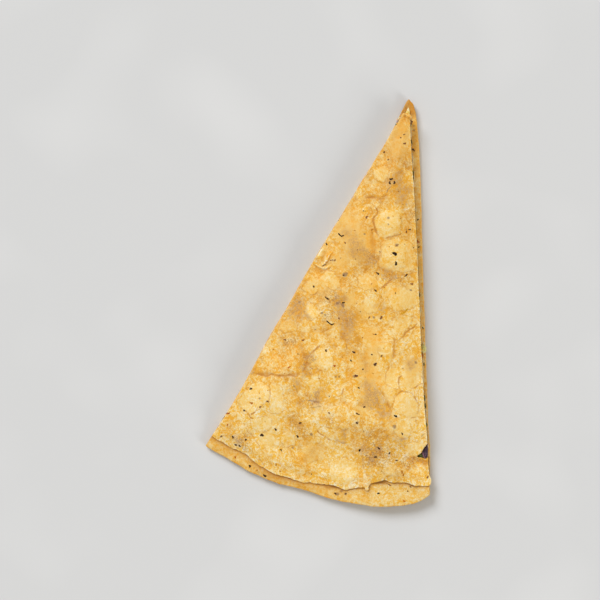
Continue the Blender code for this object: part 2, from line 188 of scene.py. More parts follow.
# Pieces of chicken under the top tortilla raise it: (x, y, radius, height)
LUMPS = (
    (32.0, 33.0, 6.5, 1.5), (33.5, 20.0, 6.5, 1.3), (36.0, 3.0, 7.0, 1.2), (13.5, 28.0, 8.0, 1.2),
    (2.6, 20.0, 4.2, 1.7), (24.0, 3.0, 7.0, 0.9), (5.5, -22.5, 8.5, 1.6), (27.5, -19.0, 6.0, 1.4),
    (38.0, -38.0, 6.5, 1.3), (-14.5, -31.0, 8.0, 1.2), (-7.0, -56.0, 9.0, 1.3), (12.0, -47.0, 7.0, 0.8),
    (27.0, -55.0, 9.0, 1.0), (39.5, -55.5, 5.5, 1.1), (-28.0, -49.0, 6.0, 0.9), (30.0, 58.0, 5.5, 0.8),
    (-8.0, -8.0, 6.5, 1.1),
)
SWELLS = ((24.0, 0.55, 7), (12.0, 0.3, 8))  # (wavelength, height, seed) of those between them
BOTTOM_SWELL = (9.0, 0.16, 3)
TOP_SWELL = (9.0, 0.16, 4)
TOP_GRAIN = ((8.0, 0.09, 30), (4.2, 0.07, 31), (2.2, 0.05, 32), (1.2, 0.035, 33))
BOTTOM_GRAIN = ((5.0, 0.13), (2.6, 0.08), (1.4, 0.04))  # (wavelength, height)
UPPER_SEED, LOWER_SEED = 34, 37  # of the bottom tortilla's two faces
LOWERED = 0.1  # makes room for the relief
CHEESE_GRAIN = ((2.2, 0.16, 46), (1.1, 0.07, 47))
CHEESE_LOWERED = 0.1
CLING = -0.05  # the thin torn rim touches
LOOSE_SWELL = (14.0, 0.08, 5)
TOP_LIFTS_OFF = 6.0
LIFTED = ((379, 482, 3.0), (413, 485, 2.0), (334, 486, 3.0))  # where the rim stands off: (photo x, y, radius)
HOLLOW_AT = (44.5, -62.2)
HOLLOW_SPREAD = (7.5, 6.5)
HOLLOW_DEPTH = 1.8

# Where the top tortilla is torn rather than cut: within this distance of the bottom one's rim, round the
# tear, and from this height on the plan up to its tip
TORN_RIM = 14.5
TEAR_AT = (43.5, -62.5)
TEAR_SPREAD = (5.0, 3.6)
TORN_TIP = 76.5
RIM_PRESSED = ((0.9, 4.0), (0.3, 0.7))  # how the torn rim is pressed down: (depth, reach)
RIM_PRESSED_WITHIN = 14.0  # of the bottom one's rim
RIM_PRESSED_FADE = 4.0
BOTTOM_RIM_ROUND = (0.55, 2.6)  # the same for the bottom one's rim

# Where the bottom tortilla shows: the ledge beside the right-hand cut, the rim and the tip
LEDGE_WIDTH = 5.0
RIM_BAND = 15.0
TIP_STARTS = 77.0

# Blotches that the pan left on the underside: waves as (wavelength, share, seed), where they start, rise
TOASTED = (((13.0, 1.0, 101), (5.0, 0.7, 102)), 0.1, 0.6)
CHARRED = (((6.0, 1.0, 103), (2.4, 0.6, 104)), 0.62, 0.3)

# How far an edge wanders, from its widest waves to its finest: (size, wavelength, seed)
BOTTOM_RAGGED = ((0.12, 11.0, 21), (0.13, 3.4, 43), (0.08, 1.4, 44))
TOP_RAGGED = ((0.10, 7.0, 22), (0.22, 2.6, 41), (0.20, 1.3, 42))
FILLING_RAGGED = ((0.35, 5.0, 23), (0.28, 2.0, 45))

# Creases in the top tortilla: (depth, half width, photo pixels that it runs through)
CREASES = (
    (0.42, 0.3, ((370, 203), (377, 211), (373.5, 219), (373.7, 226), (375.3, 231), (378, 236.5),
        (380.3, 240.5))),
    (0.38, 0.28, ((383.5, 239), (388, 238), (394, 236.4), (399, 235), (402.5, 232.5))),
    (0.36, 0.28, ((418, 272.5), (412, 273.3), (408, 274.5), (400, 276.5))),
    (0.46, 0.3, ((391, 279), (389.5, 281), (386, 284.5), (383, 287.5), (377, 289.5))),
    (0.24, 0.26, ((399.5, 284), (405, 287), (408, 290.5))),
    (0.46, 0.32, ((418, 322.5), (414.5, 325.3), (412.8, 327.5), (408.5, 330.5), (405, 332.5), (403.5, 335),
        (400, 338.5), (397, 341))),
    (0.26, 0.24, ((405, 333), (406, 335.5), (410, 336))),
    (0.26, 0.5, ((394.3, 336), (394, 342), (393.6, 347), (393.7, 352), (393, 356), (392.6, 361))),
    (0.34, 0.28, ((424, 383.5), (418.5, 384.5), (416, 386.5), (413.5, 388), (409.5, 388.5))),
    (0.36, 0.28, ((402, 375), (398.5, 377.3), (398.6, 382), (398, 387), (399.5, 389.5))),
    (0.3, 0.28, ((388.8, 364), (387.5, 369), (385.5, 373), (385, 379))),
    (0.32, 0.28, ((393.5, 398.5), (395.5, 395.5), (398, 393), (401, 391), (405, 391.2), (409.8, 391.6),
        (412.5, 394.5), (414.5, 397.5), (416.5, 400.5), (418.8, 403.5))),
    (0.3, 0.26, ((409.5, 417.3), (413, 417.5), (424.5, 416.4))), (0.24, 0.26, ((415.5, 419.5), (417.3, 426))),
    (0.34, 0.28, ((316.5, 427.5), (319.5, 433), (323, 435), (328, 438.5), (333, 441))),
    (0.28, 0.26, ((325, 426.5), (328, 427.5), (333, 428.3))),
    (0.26, 0.28, ((301.5, 317), (307, 319.3), (312, 319.7), (317, 318))),
    (0.24, 0.28, ((308, 293.5), (313, 295.3), (318, 292))),
    (0.36, 0.24, ((306.8, 360.5), (307.5, 364), (310, 367), (314, 370))),
    (0.28, 0.26, ((310, 354), (314, 350.5), (318, 346.5), (320.5, 343.5))),
    (0.26, 0.3, ((324, 348), (330, 346), (339, 346.3))),
    (0.44, 0.26, ((246.5, 410.5), (249, 415.5), (253, 419.5))),
    (0.4, 0.24, ((250.3, 414.8), (254, 412.5), (257, 409), (259, 406.5))),
    (0.2, 0.22, ((261.5, 405.5), (266, 403), (269.5, 400))),
    (0.24, 0.3, ((269.7, 384), (270, 394), (269.6, 403))),
    (0.2, 0.28, ((257, 439), (262, 444), (266, 450), (268.5, 456))),
    (0.22, 0.26, ((246, 429), (253, 437), (258, 445), (262, 452))),
    (0.24, 0.26, ((259, 458), (262, 463), (266, 468))),
    (0.26, 0.3, ((362, 451), (363, 462), (364.5, 470), (367, 475), (372, 478.5))),
    (0.22, 0.28, ((404.6, 441), (404.3, 450), (405.3, 458.5))),
    (0.34, 0.34, ((406.5, 466), (408, 467.3), (410.8, 468.7))),
    (0.34, 0.34, ((363.5, 197), (368, 198), (372, 197.5), (375.5, 198))),
    (0.3, 0.3, ((375.5, 200.3), (383.5, 200))), (0.3, 0.3, ((380.5, 197), (386.5, 196.3))),
    (0.3, 0.3, ((345.9, 343), (346.3, 346), (347, 350))), (0.26, 0.3, ((344, 386), (341, 394), (332, 398))),
    (0.3, 0.34, ((409.5, 459.5), (414, 463.5), (416.5, 469))), (0.26, 0.3, ((426, 453.5), (430, 463))),
    (0.42, 0.34, ((252.5, 371.5), (257, 374), (262, 374.5), (267, 376), (272, 374.5), (280, 375.5),
        (288, 374.5), (296, 375.5), (301, 374))),
    (0.34, 0.3, ((301, 374), (305, 368), (307, 361), (308, 354))),
    (0.3, 0.3, ((308, 372), (312, 374.5), (318, 371))),
    (0.3, 0.26, ((313, 353), (317, 348.5), (320.5, 344.5))),
    (0.3, 0.26, ((309, 360.5), (310.5, 364), (313.5, 367.5))),
)
CREASE_SHOULDER = 0.4  # how much of a crease's depth stands up beside it
GROOVE_WIDTH, SHOULDER_WIDTH = 1.1, 2.6  # of the half width
CREASE_BREAKS = (2.4, 73)  # wavelength and seed of the noise that makes it fainter and stronger

# Wider dips between the pieces of filling, in the same terms, also painted a little darker as shade
VALLEYS = (
    (0.3, 0.9, ((389, 195.5), (381, 199.5), (371, 197.5), (362, 198.5))),
    (0.32, 1.2, ((371, 222), (372, 238), (375, 252), (380, 262))),
    (0.28, 1.1, ((306, 326), (301.5, 345), (304.5, 358), (309, 371))),
    (0.45, 0.9, ((255, 374.5), (268, 373.5), (281, 375.5), (296, 373.5), (305, 373))),
    (0.28, 0.9, ((352, 346), (358, 352), (364, 361), (366, 373))),
    (0.4, 0.6, ((380, 389.5), (384, 396), (386.5, 402), (388.5, 406), (391.5, 409))),
    (0.34, 0.6, ((380.3, 241), (380.3, 250), (379, 262))), (0.26, 1.4, ((341, 300), (345, 318), (344, 344))),
    (0.24, 1.0, ((340, 428), (344, 441), (352, 448), (358, 462), (366, 471))),
    (0.22, 1.0, ((290, 410), (299, 420), (301, 434))),
    (0.22, 1.1, ((306, 384), (310, 398), (322, 402), (328, 392))),
    (0.2, 1.0, ((300, 440), (300, 462), (309, 478))),
    (0.24, 0.9, ((396, 345), (394, 357), (388, 366), (380, 378))),
)

# Folds that stand up at the pinched flap and at the crumpled tip, in the same terms, and dips beside them.
# Their ridges are painted paler as a highlight, and the narrow dips darker as shade
FOLDS = (
    (0.6, 0.45, ((313, 263.4), (316.2, 265), (321.4, 268.2), (327.7, 267.6), (331.4, 264.5))),
    (0.6, 0.38, ((330.9, 252.4), (329, 256.5), (326.7, 260.3), (323.5, 264), (320.4, 266.6))),
    (0.3, 0.4, ((323.3, 248.7), (320, 253), (317.2, 257.6))),
    (0.3, 0.4, ((404.5, 121), (407, 128), (409.3, 135))),
    (0.35, 0.36, ((403.3, 114), (402, 116.5), (401, 118.5))),
    (0.45, 0.4, ((406.5, 115.8), (409.5, 117.2), (411.4, 118.6))),
)
FOLD_DIPS = (
    (0.16, 0.24, ((334, 251.3), (330.4, 256.6), (327.7, 260.3), (325.6, 263.7), (322.4, 266))),
    (0.14, 0.24, ((331.7, 265.8), (328.8, 268.7), (324, 270.8), (321.2, 270.8), (317.7, 268.7),
        (312, 263.4))),
    (0.4, 0.8, ((325.5, 250), (324, 256), (320, 262))),
    (0.35, 0.26, ((404.6, 115.2), (404.9, 118.5), (405.8, 123))),
)
# Pale lines, partly pale streaks in the dough and partly painted highlights on the flap's ridges and plate
# edges: (half width, photo pixels)
CREAM_LINES = (
    (0.25, ((407.3, 157), (408, 163.5))), (0.3, ((408.6, 171), (409.6, 178.5))),
    (0.25, ((403.6, 166), (404.3, 171))), (0.42, ((324, 247.5), (320.5, 252.5), (317.2, 257.6))),
    (0.25, ((330, 254), (327, 259.5), (324, 263.4))), (0.3, ((401, 210), (406, 209.2), (410, 208.5))),
    (0.3, ((321, 269.6), (326, 269.4), (330, 267.4))), (0.3, ((376, 352), (383, 353.5), (389, 353))),
    (0.3, ((391, 343), (391.6, 352))), (0.3, ((314, 262), (317, 261.5))),
)
# Amber lines and streaks: (strength, half width, photo pixels); those along and below the flap's folds are
# painted shade
AMBER_LINES = (
    (0.5, 0.7, ((393.5, 341), (393.8, 350), (393, 358))), (0.9, 0.7, ((320.5, 417), (325.5, 418.5))),
    (0.6, 0.5, ((256, 371), (262, 373))),
    (0.9, 0.32, ((334, 251.3), (330.4, 256.6), (327.7, 260.3), (325.6, 263.7))),
    (0.9, 0.34, ((331.7, 265.8), (328.8, 268.7), (324, 270.8), (321.2, 270.8), (317.7, 268.7), (312, 263.4))),
    (0.9, 0.75, ((313.5, 267.5), (317, 270), (321.5, 272))),
    (0.6, 0.9, ((321.5, 260), (324, 256), (326.5, 250.5))),
    (0.5, 0.35, ((316.5, 260.5), (320, 261), (323.5, 259))),
    (0.45, 1.1, ((398, 127), (402, 121), (405, 117))), (0.7, 0.7, ((407.5, 116.5), (410.5, 118.2))),
    (0.5, 0.5, ((410.3, 120), (410.2, 128))), (0.8, 0.45, ((371.5, 228), (372, 234))),
    (0.6, 1.0, ((370.5, 234), (371.5, 241), (374, 247))), (0.5, 0.8, ((404, 228), (408, 231), (411, 234))),
    (0.6, 0.35, ((398, 237), (391, 238.5), (386, 239))), (0.5, 0.4, ((404, 212), (407.5, 214), (408.5, 218))),
    (0.5, 0.5, ((279, 462), (283, 468), (287, 474))), (0.5, 0.6, ((286, 440), (290, 450), (293, 457))),
    (0.4, 0.6, ((352, 436), (354, 446), (360, 452))), (0.5, 0.4, ((381, 360.5), (386.5, 361))),
    (0.45, 0.6, ((377, 428), (383, 431), (386, 430))),
)
# Soft grey-brown streaks, in the same terms
STREAKS = (
    (0.4, 0.4, ((283, 391), (290, 388), (297, 384))), (0.7, 0.3, ((421.5, 436.5), (424, 433.5))),
    (0.8, 0.28, ((386, 194), (388, 189), (391, 186.5))), (0.3, 0.5, ((224, 424), (229, 429))),
    (0.3, 0.5, ((229, 433), (232, 436), (235, 441))), (0.4, 0.42, ((232, 427), (236, 431))),
    (0.45, 0.45, ((239, 436), (243, 441))), (0.35, 0.5, ((240, 446), (244, 450), (249, 453))),
    (0.35, 0.4, ((246, 437), (250, 443))), (0.35, 0.34, ((316, 384), (318, 391), (322, 397))),
    (0.6, 0.6, ((306, 400.5), (313, 400), (321, 402.5))), (0.35, 0.3, ((312, 391), (316, 396), (318, 400))),
    (0.6, 0.3, ((309, 408), (316, 406), (324, 407))), (0.5, 0.36, ((291, 309), (297, 304), (303, 300))),
    (0.5, 0.3, ((288, 317), (295, 312), (301, 308))), (0.5, 0.3, ((295, 298), (300, 303), (303, 311))),
    (0.5, 0.28, ((367, 446), (373, 452), (379, 459))), (0.5, 0.28, ((372, 443), (379, 449), (386, 453))),
    (0.4, 0.28, ((363, 452), (369, 458), (373, 465))), (0.4, 0.3, ((366, 387), (372, 393), (379, 401))),
    (0.4, 0.3, ((371, 384), (377, 391), (384, 399))), (0.35, 0.3, ((362, 391), (369, 399), (375, 406))),
    (0.5, 0.3, ((338, 300), (343, 306), (345, 314))), (0.4, 0.3, ((344, 316), (347, 324), (348, 332))),
    (0.4, 0.3, ((349, 313), (351, 322), (353, 330))), (0.4, 0.34, ((392, 276), (396, 278), (400, 277))),
    (0.5, 0.34, ((292, 383), (296, 388), (297, 394))), (0.5, 0.26, ((346.2, 343.5), (346.8, 350))),
    (0.5, 0.26, ((387, 433.5), (387, 437.5))),
)
# Painted shade: (photo x, y, radius), along the tear's lower lip, and its darkest spots in folds and at the
# tear
SHADE_UNDER_LIP = ((414, 458.5, 0.9), (416.5, 460.5, 1.1), (420, 460.5, 1.2), (424, 460.8, 1.2), (427, 463, 0.9))
DARKEST_SHADE = ((323.6, 265.4, 0.4), (321.2, 271.2, 0.5), (404.7, 116.6, 0.4), (413.3, 458.5, 0.5))

# Domes where the dough blistered: (photo x, y, radius, height)
BLISTERS = (
    (389, 224, 5.6, 0.45), (399, 254, 6.0, 0.5), (377, 285, 4.5, 0.3), (408, 356, 5.5, 0.36),
    (405, 376, 4.6, 0.32), (300, 446, 8.5, 0.35), (406, 407, 6.0, 0.38), (247, 420, 6.0, 0.3),
    (275, 432, 6.5, 0.32), (345, 398, 5.6, 0.3), (314, 287, 5.2, 0.34), (355, 222, 6.4, 0.34),
    (404, 294, 5.6, 0.36), (341, 430, 5.5, 0.28), (377, 172, 4.6, 0.32), (396, 150, 5.0, 0.24),
    (313, 454, 4.2, 0.3), (262, 452, 5.0, 0.26), (262, 398, 5.4, 0.3), (283, 361, 5.0, 0.26),
    (372, 395, 5.2, 0.22), (410.5, 118.4, 1.4, 0.35), (362, 187, 3.4, 0.28), (412, 478, 3.0, 0.3),
)
# Where it sags: over the tear's lower lip
SAGS = ((421.5, 461.5, 2.4, 0.9), (416.5, 461.0, 1.6, 0.5), (426.0, 463.5, 1.8, 0.6))

# Where the face is smooth, without its grain
SMOOTH = (
    (345, 222, 6.0), (355, 240, 6.0), (362, 252, 4.5), (397, 150, 5.0), (402, 133, 4.0), (405, 295, 4.0),
    (377, 349, 3.6), (366, 362, 4.0), (369, 396, 3.0), (362, 408, 3.0), (412, 367, 3.6), (313, 453, 4.6),
    (340, 262, 3.6), (322, 250, 2.6), (326, 294, 3.0), (370, 376, 4.0), (390, 378, 3.4), (370, 335, 3.6),
    (350, 299, 3.0), (409, 298, 3.6), (390, 217, 3.0), (410, 380, 3.6), (269, 421, 3.6), (268, 441, 3.6),
    (410, 404, 3.4), (365, 311, 3.0), (411, 416, 2.8),
)
# Where it is rougher
ROUGH = (
    (370, 455, 4.6), (390, 455, 4.6), (368, 437, 3.4), (408, 462, 3.4), (330, 315, 2.8), (290, 340, 2.8),
    (310, 400, 3.6), (413, 214, 2.8), (390, 278, 2.6), (405, 281, 3.0), (330, 420, 2.8), (244, 441, 3.6),
    (291, 420, 2.8), (302, 430, 2.8), (309, 361, 3.0), (375, 258, 2.6), (331, 298, 2.8),
)

# Plates of baked dough with crisp edges: (how pale, their outline through photo pixels)
PLATES = (
    (0.5, ((378, 168), (386, 166), (389, 174), (384, 182), (376, 181), (373, 174))),
    (0.65, ((374.5, 220), (379, 218), (380.5, 212), (388, 210), (397, 212), (400, 218), (401, 226),
        (398, 233), (392, 237), (386, 238.5), (381, 238), (377, 233), (375, 229), (373.8, 224))),
    (0.6, ((381, 242), (392, 239.5), (404, 240), (412, 244), (415.5, 255), (416, 268), (410, 271.5),
        (398, 272), (391, 270.5), (384, 270.5), (379.5, 267), (378, 262), (380.5, 252))),
    (0.4, ((386, 287), (391, 281.5), (399, 284), (405, 287), (411, 291), (417, 294), (417.5, 304),
        (410, 309), (400, 311), (392, 309), (389, 300), (384, 291))),
    (0.45, ((305, 285), (312, 276), (318, 279), (325, 272), (333, 272), (339, 278), (339, 288), (333, 290.5),
        (326, 286), (319, 288.5), (316, 292), (312, 294.5), (309, 293), (302.5, 289.5))),
    (0.7, ((305, 309), (309, 302), (314, 305), (317, 311), (318, 317), (312, 319), (306, 317))),
    (0.15, ((376.5, 343.5), (384, 342.5), (390.5, 342), (392, 345), (392.5, 353), (390, 356), (381, 356),
        (377, 352))),
    (0.45, ((387, 371), (391, 368), (398, 368), (399, 376), (398, 384), (397, 388), (390, 391), (386, 384),
        (385.5, 377))),
    (0.75, ((311, 357), (315, 351.5), (320, 347), (324, 348.5), (327, 352), (331, 355), (333, 360),
        (332, 366), (326, 371), (320, 369), (316, 366.5), (312, 366), (308, 363), (307, 360.5))),
    (0.2, ((281, 322), (290, 319), (298, 322), (298, 329), (292, 332), (284, 333), (279, 329))),
    (0.16, ((394.5, 399), (398, 394), (402, 392.5), (409, 392.8), (412.5, 396), (418, 404.5), (417, 413),
        (408, 416), (399, 413), (393, 407))),
    (0.6, ((405, 444), (412, 442.5), (420, 444), (426.5, 443), (421.5, 450.5), (417.5, 455), (413, 457),
        (409, 458), (405.5, 456.5), (404.5, 450))),
    (-0.8, ((303, 459), (306, 453), (312, 447.5), (320, 445), (326, 446.5), (325, 450.5), (320, 455),
        (316, 459.5), (310, 463), (305, 462))),
    (0.8, ((314.5, 440), (316, 437), (319, 436.5), (320.5, 440), (318.5, 443), (315.5, 443))),
    (0.6, ((238, 402), (245, 392), (252, 384), (262, 382), (268.5, 385), (269.5, 398), (262, 405),
        (257, 410), (251, 415), (246, 411), (241, 407))),
    (0.45, ((270.5, 383), (281, 385), (284, 396), (283, 410), (279, 414), (271, 412), (269.8, 400))),
    (0.4, ((251, 420), (262, 416), (271, 418), (272, 428), (262, 432), (252, 428))),
    (0.45, ((357, 277), (366, 274), (374, 277), (379, 283), (374, 288), (366, 290), (358, 286))),
    (0.7, ((334.5, 304), (339, 303.5), (340.5, 306.5), (338.5, 309.5), (334.5, 308.5))),
    (0.6, ((309, 384), (312, 373), (317, 374), (320, 384), (318, 396), (313, 399), (309, 393))),
    (0.6, ((311, 405), (318, 402.5), (323, 406), (321, 414), (314, 416.5), (309, 411))),
    (0.7, ((341, 422), (346, 423), (348, 427), (343, 429.5), (339, 426))),
    (0.45, ((330, 462), (345, 458), (356, 463), (358, 474), (350, 484), (337, 484), (328, 476))),
    (0.4, ((282, 434), (289, 430), (295, 437), (294, 445), (286, 447), (280, 441))),
    (0.4, ((398, 418), (407, 419), (411, 427), (408, 437), (399, 438), (394, 429))),
    (0.4, ((385, 463), (392, 461), (397, 467), (394, 475), (386, 476), (382, 470))),
    (0.4, ((364, 300), (374, 297), (380, 303), (377, 312), (368, 313), (362, 307))),
    (0.45, ((392, 318), (400, 315), (411, 317), (411, 325), (402, 333), (394, 332))),
    (0.15, ((381, 381), (389, 387), (396, 389), (393, 397), (391, 406), (388, 404), (384, 395), (380, 389))),
)
PLATE_HEIGHT = 0.15
PLATE_EDGE = 0.2  # how soft it is where it is crisp
PLATE_FADE = 1.6  # how much softer where it isn't
PLATE_BREAKS = (5.0, 68)  # wavelength and seed of the noise that makes it crisp or not
RIM_OF_PLATE = 0.22  # half width of the amber line around it

# Small flakes all over: (size, share, seed), and the half width of the lines between them
MOSAIC = ((6.0, 0.42, 105), (3.1, 0.55, 125), (1.6, 0.5, 145))
MOSAIC_LINE = 0.15

# Traced lines: the spacing of their points, the share of one over which each end fades, what is left there
LINE_STEP = 0.6
LINE_ENDS = 0.15
LINE_END_LEFT = 0.2

# How far noise moves what is drawn on the dough: (size, wavelength, seed)
LINE_FRAY = ((0.38, 2.6, 61), (0.16, 0.8, 71))
PLATE_FRAY = ((0.55, 2.6, 64), (0.28, 0.9, 66))
MOSAIC_FRAY = ((1.3, 4.0, 101), (0.4, 1.3, 103))
PATCH_FRAY = ((1.8, 4.0, 91), (0.9, 1.6, 93))
SMOOTH_FRAY = (1.0, 4.0, 115)
BLISTER_FRAY = (0.7, 3.4, 63)
STAIN_FRAY = (0.3, 1.2, 89)
LIP_FRAY = (0.5, 2.0, 117)

# Patches by colour: (photo x, y, radius in millimetres)
PALE = (
    (402, 116.5, 0.8), (425.6, 466.6, 0.5), (343.5, 424.5, 0.7), (404.5, 209.5, 1.2), (384, 358, 1.0),
    (375, 459.5, 0.6), (380, 174, 2.6), (363, 187, 3.2), (375, 170, 2.2), (411, 181, 1.4), (388, 222, 5.0),
    (386, 212, 3.0), (398, 216, 2.4), (396, 243, 3.6), (399, 257, 4.2), (388, 256, 2.6), (360, 213, 2.4),
    (345, 222, 2.4), (361, 283, 3.0), (328, 277, 3.8), (322, 263, 1.6), (318, 252, 1.4), (405, 288, 5.2),
    (396, 300, 3.0), (366, 300, 3.4), (311, 309, 3.0), (327, 313, 2.8), (395, 322, 3.2), (387, 334, 1.8),
    (386, 349, 3.2), (405, 344, 3.2), (415, 336, 2.4), (276, 344, 2.0), (325, 357, 4.4), (315, 351, 2.8),
    (334, 366, 3.2), (312, 379, 2.6), (336, 386, 3.8), (326, 388, 1.8), (402, 378, 4.2), (393, 386, 2.6),
    (410, 392, 2.6), (404, 405, 5.0), (410, 421, 3.4), (411, 432, 3.4), (262, 397, 6.0), (256, 412, 3.4),
    (268, 410, 4.0), (275, 395, 3.4), (312, 415, 4.0), (272, 417, 3.0), (283, 437, 5.0), (272, 449, 4.6),
    (262, 433, 3.2), (296, 452, 2.8), (325, 462, 3.2), (335, 453, 2.8), (414, 316, 2.4), (270, 442, 4.0),
    (332, 453, 4.0), (264, 414, 3.6), (422, 414, 2.4), (272, 350, 2.4), (412, 431, 3.4), (283, 470, 2.4),
    (415, 356, 2.0), (417, 404, 2.4), (254, 423, 3.0), (418, 396, 2.4), (412, 325, 2.4), (326, 460, 2.6),
    (279, 416, 3.4), (421, 432, 2.4), (284, 421, 2.6), (335, 368, 2.0), (406, 312, 2.4), (418, 298, 2.2),
    (256, 453, 2.4), (315, 394, 2.2), (364, 315, 2.6), (367, 213, 2.2), (363, 192, 2.0), (380, 194, 1.8),
    (325, 440, 2.2), (398, 343, 1.8), (304, 414, 2.0), (287, 411, 2.0), (344, 474, 4.8), (327, 474, 3.2),
    (290, 467, 3.2), (365, 475, 2.2), (384, 465, 2.0), (383, 474, 2.2), (400, 452, 2.6), (366, 412, 1.8),
    (350, 462, 2.0), (412, 349, 2.0), (315, 394, 1.8), (369, 437, 1.8), (421, 347, 1.6), (416, 317, 1.8),
    (270, 353, 2.4), (411, 460, 1.4), (277, 417, 2.4), (263, 416, 2.2), (423, 413, 1.8), (418, 339, 1.8),
    (331, 430, 2.2), (418, 405, 1.8), (251, 424, 2.2), (409, 458, 0.8), (415, 349, 2.4), (421, 350, 1.6),
)
GREY = (
    (404, 191, 3.8), (399, 174, 2.2), (403, 204, 2.4), (391, 182, 2.2), (345, 233, 2.4), (355, 243, 2.8),
    (352, 254, 2.2), (371, 261, 3.2), (362, 252, 2.0), (394, 277, 2.8), (384, 272, 1.8), (340, 298, 2.4),
    (338, 303, 2.2), (341, 311, 2.0), (298, 304, 4.0), (292, 314, 2.8), (303, 312, 2.2), (346, 325, 3.8),
    (349, 317, 2.8), (344, 338, 2.4), (381, 307, 2.4), (305, 355, 1.8), (305, 370, 2.0), (309, 364, 2.0),
    (285, 341, 1.8), (296, 385, 2.6), (317, 401, 2.8), (320, 392, 2.2), (298, 402, 1.8), (372, 393, 4.0),
    (367, 385, 2.6), (378, 403, 3.0), (384, 414, 2.8), (365, 402, 2.2), (422, 375, 1.8), (240, 441, 2.1),
    (231, 436, 2.0), (378, 450, 2.6), (388, 436, 2.6), (362, 449, 2.0), (372, 458, 2.6), (402, 441, 2.6),
    (410, 363, 2.8), (297, 424, 1.2), (343, 432, 2.4), (340, 442, 1.6), (253, 371, 1.6), (424, 462, 1.8),
)
BROWN = (
    (378, 450, 3.4), (256, 371, 1.8), (228, 427, 2.0), (304, 349, 2.0), (366, 368, 2.4), (376, 273, 1.8),
    (359, 271, 2.0), (300, 357, 2.2), (374, 430, 3.0), (296, 420, 1.8), (415, 207.5, 2.0), (318, 421, 1.8),
    (380, 425, 2.0), (366, 355, 1.8), (384, 463, 3.2), (290, 345, 2.6), (376, 245, 2.6), (320, 368, 1.8),
    (379, 350, 1.6), (340, 290, 2.0), (313, 453, 3.4), (352, 345, 3.4), (355, 315, 3.2), (326, 296, 3.8),
    (319, 304, 2.2), (299, 335, 2.4), (365, 262, 3.4), (357, 268, 3.4), (350, 286, 2.8), (330, 345, 1.8),
    (325, 333, 2.8), (361, 357, 2.0), (366, 366, 2.0), (388, 403, 1.8), (403, 468, 2.6), (399, 477, 2.2),
    (366, 466, 2.4), (356, 428, 3.2), (377, 437, 2.3), (302, 297, 1.6), (243, 452, 1.8), (229, 423, 1.8),
    (297, 321, 1.8), (355, 444, 1.8), (358, 412, 1.6), (417, 265, 1.5), (405, 162, 2.4), (394, 162, 3.2),
    (384, 154, 2.2), (368, 197, 2.0), (383, 199, 1.8), (284, 351, 2.2), (268, 374, 1.8), (290, 374, 1.8),
    (419, 461, 2.4), (395, 345, 1.6), (397, 316, 2.2),
)
ORANGE = (
    (364, 280, 2.2), (372, 236, 2.2), (378, 251, 2.0), (373, 372, 2.2), (380, 425, 1.8), (319, 277, 2.0),
    (390, 333, 2.2), (364, 281, 2.2), (362, 482, 2.2), (342, 289, 2.0), (372, 237, 2.0), (415, 210, 2.0),
    (297, 321, 1.6), (421, 482, 2.0), (371, 330, 2.2), (366, 356, 1.6), (409, 117, 1.8), (404, 128, 3.0),
    (403, 122, 2.4), (316, 269.5, 1.5), (317.5, 275, 1.5), (409.3, 457.5, 0.8), (408, 231, 1.6),
    (400, 124, 2.8), (404, 118, 2.6), (398, 140, 3.2), (390, 160, 4.4), (383, 166, 2.6), (352, 205, 2.2),
    (405, 214, 1.8), (394, 198, 2.2), (358, 204, 2.2), (371, 228, 2.4), (370, 240, 3.2), (373, 250, 2.6),
    (407, 231, 2.4), (352, 222, 2.4), (409, 250, 2.4), (337, 258, 2.4), (342, 266, 2.4), (330, 252, 2.2),
    (319, 272, 1.8), (373, 283, 1.0), (392, 290, 1.2), (358, 296, 2.4), (369, 331, 4.4), (374, 340, 2.2),
    (283, 361, 4.0), (270, 362, 2.6), (296, 359, 2.4), (302, 344, 2.4), (301, 352, 2.2), (294, 348, 2.2),
    (343, 360, 2.8), (349, 374, 2.4), (373, 374, 3.6), (379, 382, 3.6), (351, 384, 2.8), (348, 410, 3.0),
    (357, 369, 2.4), (367, 357, 2.4), (393, 292, 2.2), (352, 404, 2.4), (362, 482, 3.4), (341, 289, 2.8),
    (375, 244, 3.2), (315, 274, 2.2), (289, 345, 2.4), (320, 367, 2.2), (306, 442, 2.6), (300, 437, 1.8),
    (303, 464, 2.8), (309, 474, 2.6), (301, 455, 1.8), (351, 458, 2.2), (287, 424, 1.8), (286, 410, 1.4),
    (404, 311, 0.9), (410, 404, 1.4), (395, 418, 1.4), (276, 464, 1.0), (412, 459, 1.6), (422, 464, 1.4),
    (427, 473, 1.2), (262, 467, 1.6), (320, 482, 2.0), (350, 487, 1.8),
)

# Spots on the top tortilla by colour: (photo x, y, length), and strokes through photo pixels
DARK_SPOTS = (
    (384, 152.4, 0.8), (390.9, 179.6, 1.2), (389.4, 183.4, 0.9), (394, 183.2, 1.0), (326.5, 244.2, 0.8),
    (394.2, 254, 1.5), (395.5, 263.8, 1.2), (313.7, 286.6, 0.9), (375.1, 290.7, 0.9), (343.1, 302.7, 0.9),
    (375.2, 334.2, 0.7), (353.6, 352, 1.0), (325.9, 350.4, 0.8), (371.5, 354.3, 0.7), (381.1, 355.5, 0.7),
    (350.7, 360.3, 0.7), (374.8, 364, 1.1), (362.6, 369, 0.7), (358.5, 387.5, 0.7), (395.3, 415.6, 1.1),
    (300.2, 422.5, 0.8), (275.7, 429.3, 0.9), (401.9, 433.3, 0.8), (261.9, 435.1, 1.3), (232.9, 437.4, 0.9),
    (245.8, 439.9, 0.8), (235.6, 445.2, 0.9), (239.4, 446.2, 0.8), (359.5, 450, 0.9), (281, 450.1, 0.8),
    (389.3, 453, 0.8), (375.4, 456.9, 0.9), (244.2, 410.4, 0.8), (364, 406.5, 0.8), (412.8, 149.7, 0.7),
    (343.5, 275.3, 0.6), (409.5, 229.8, 0.7), (251, 388.5, 0.9), (297.6, 436.3, 0.9), (356.5, 422.5, 0.8),
    (378.7, 448, 1.0), (325.8, 265, 0.4), (396.5, 460.5, 0.7),
)
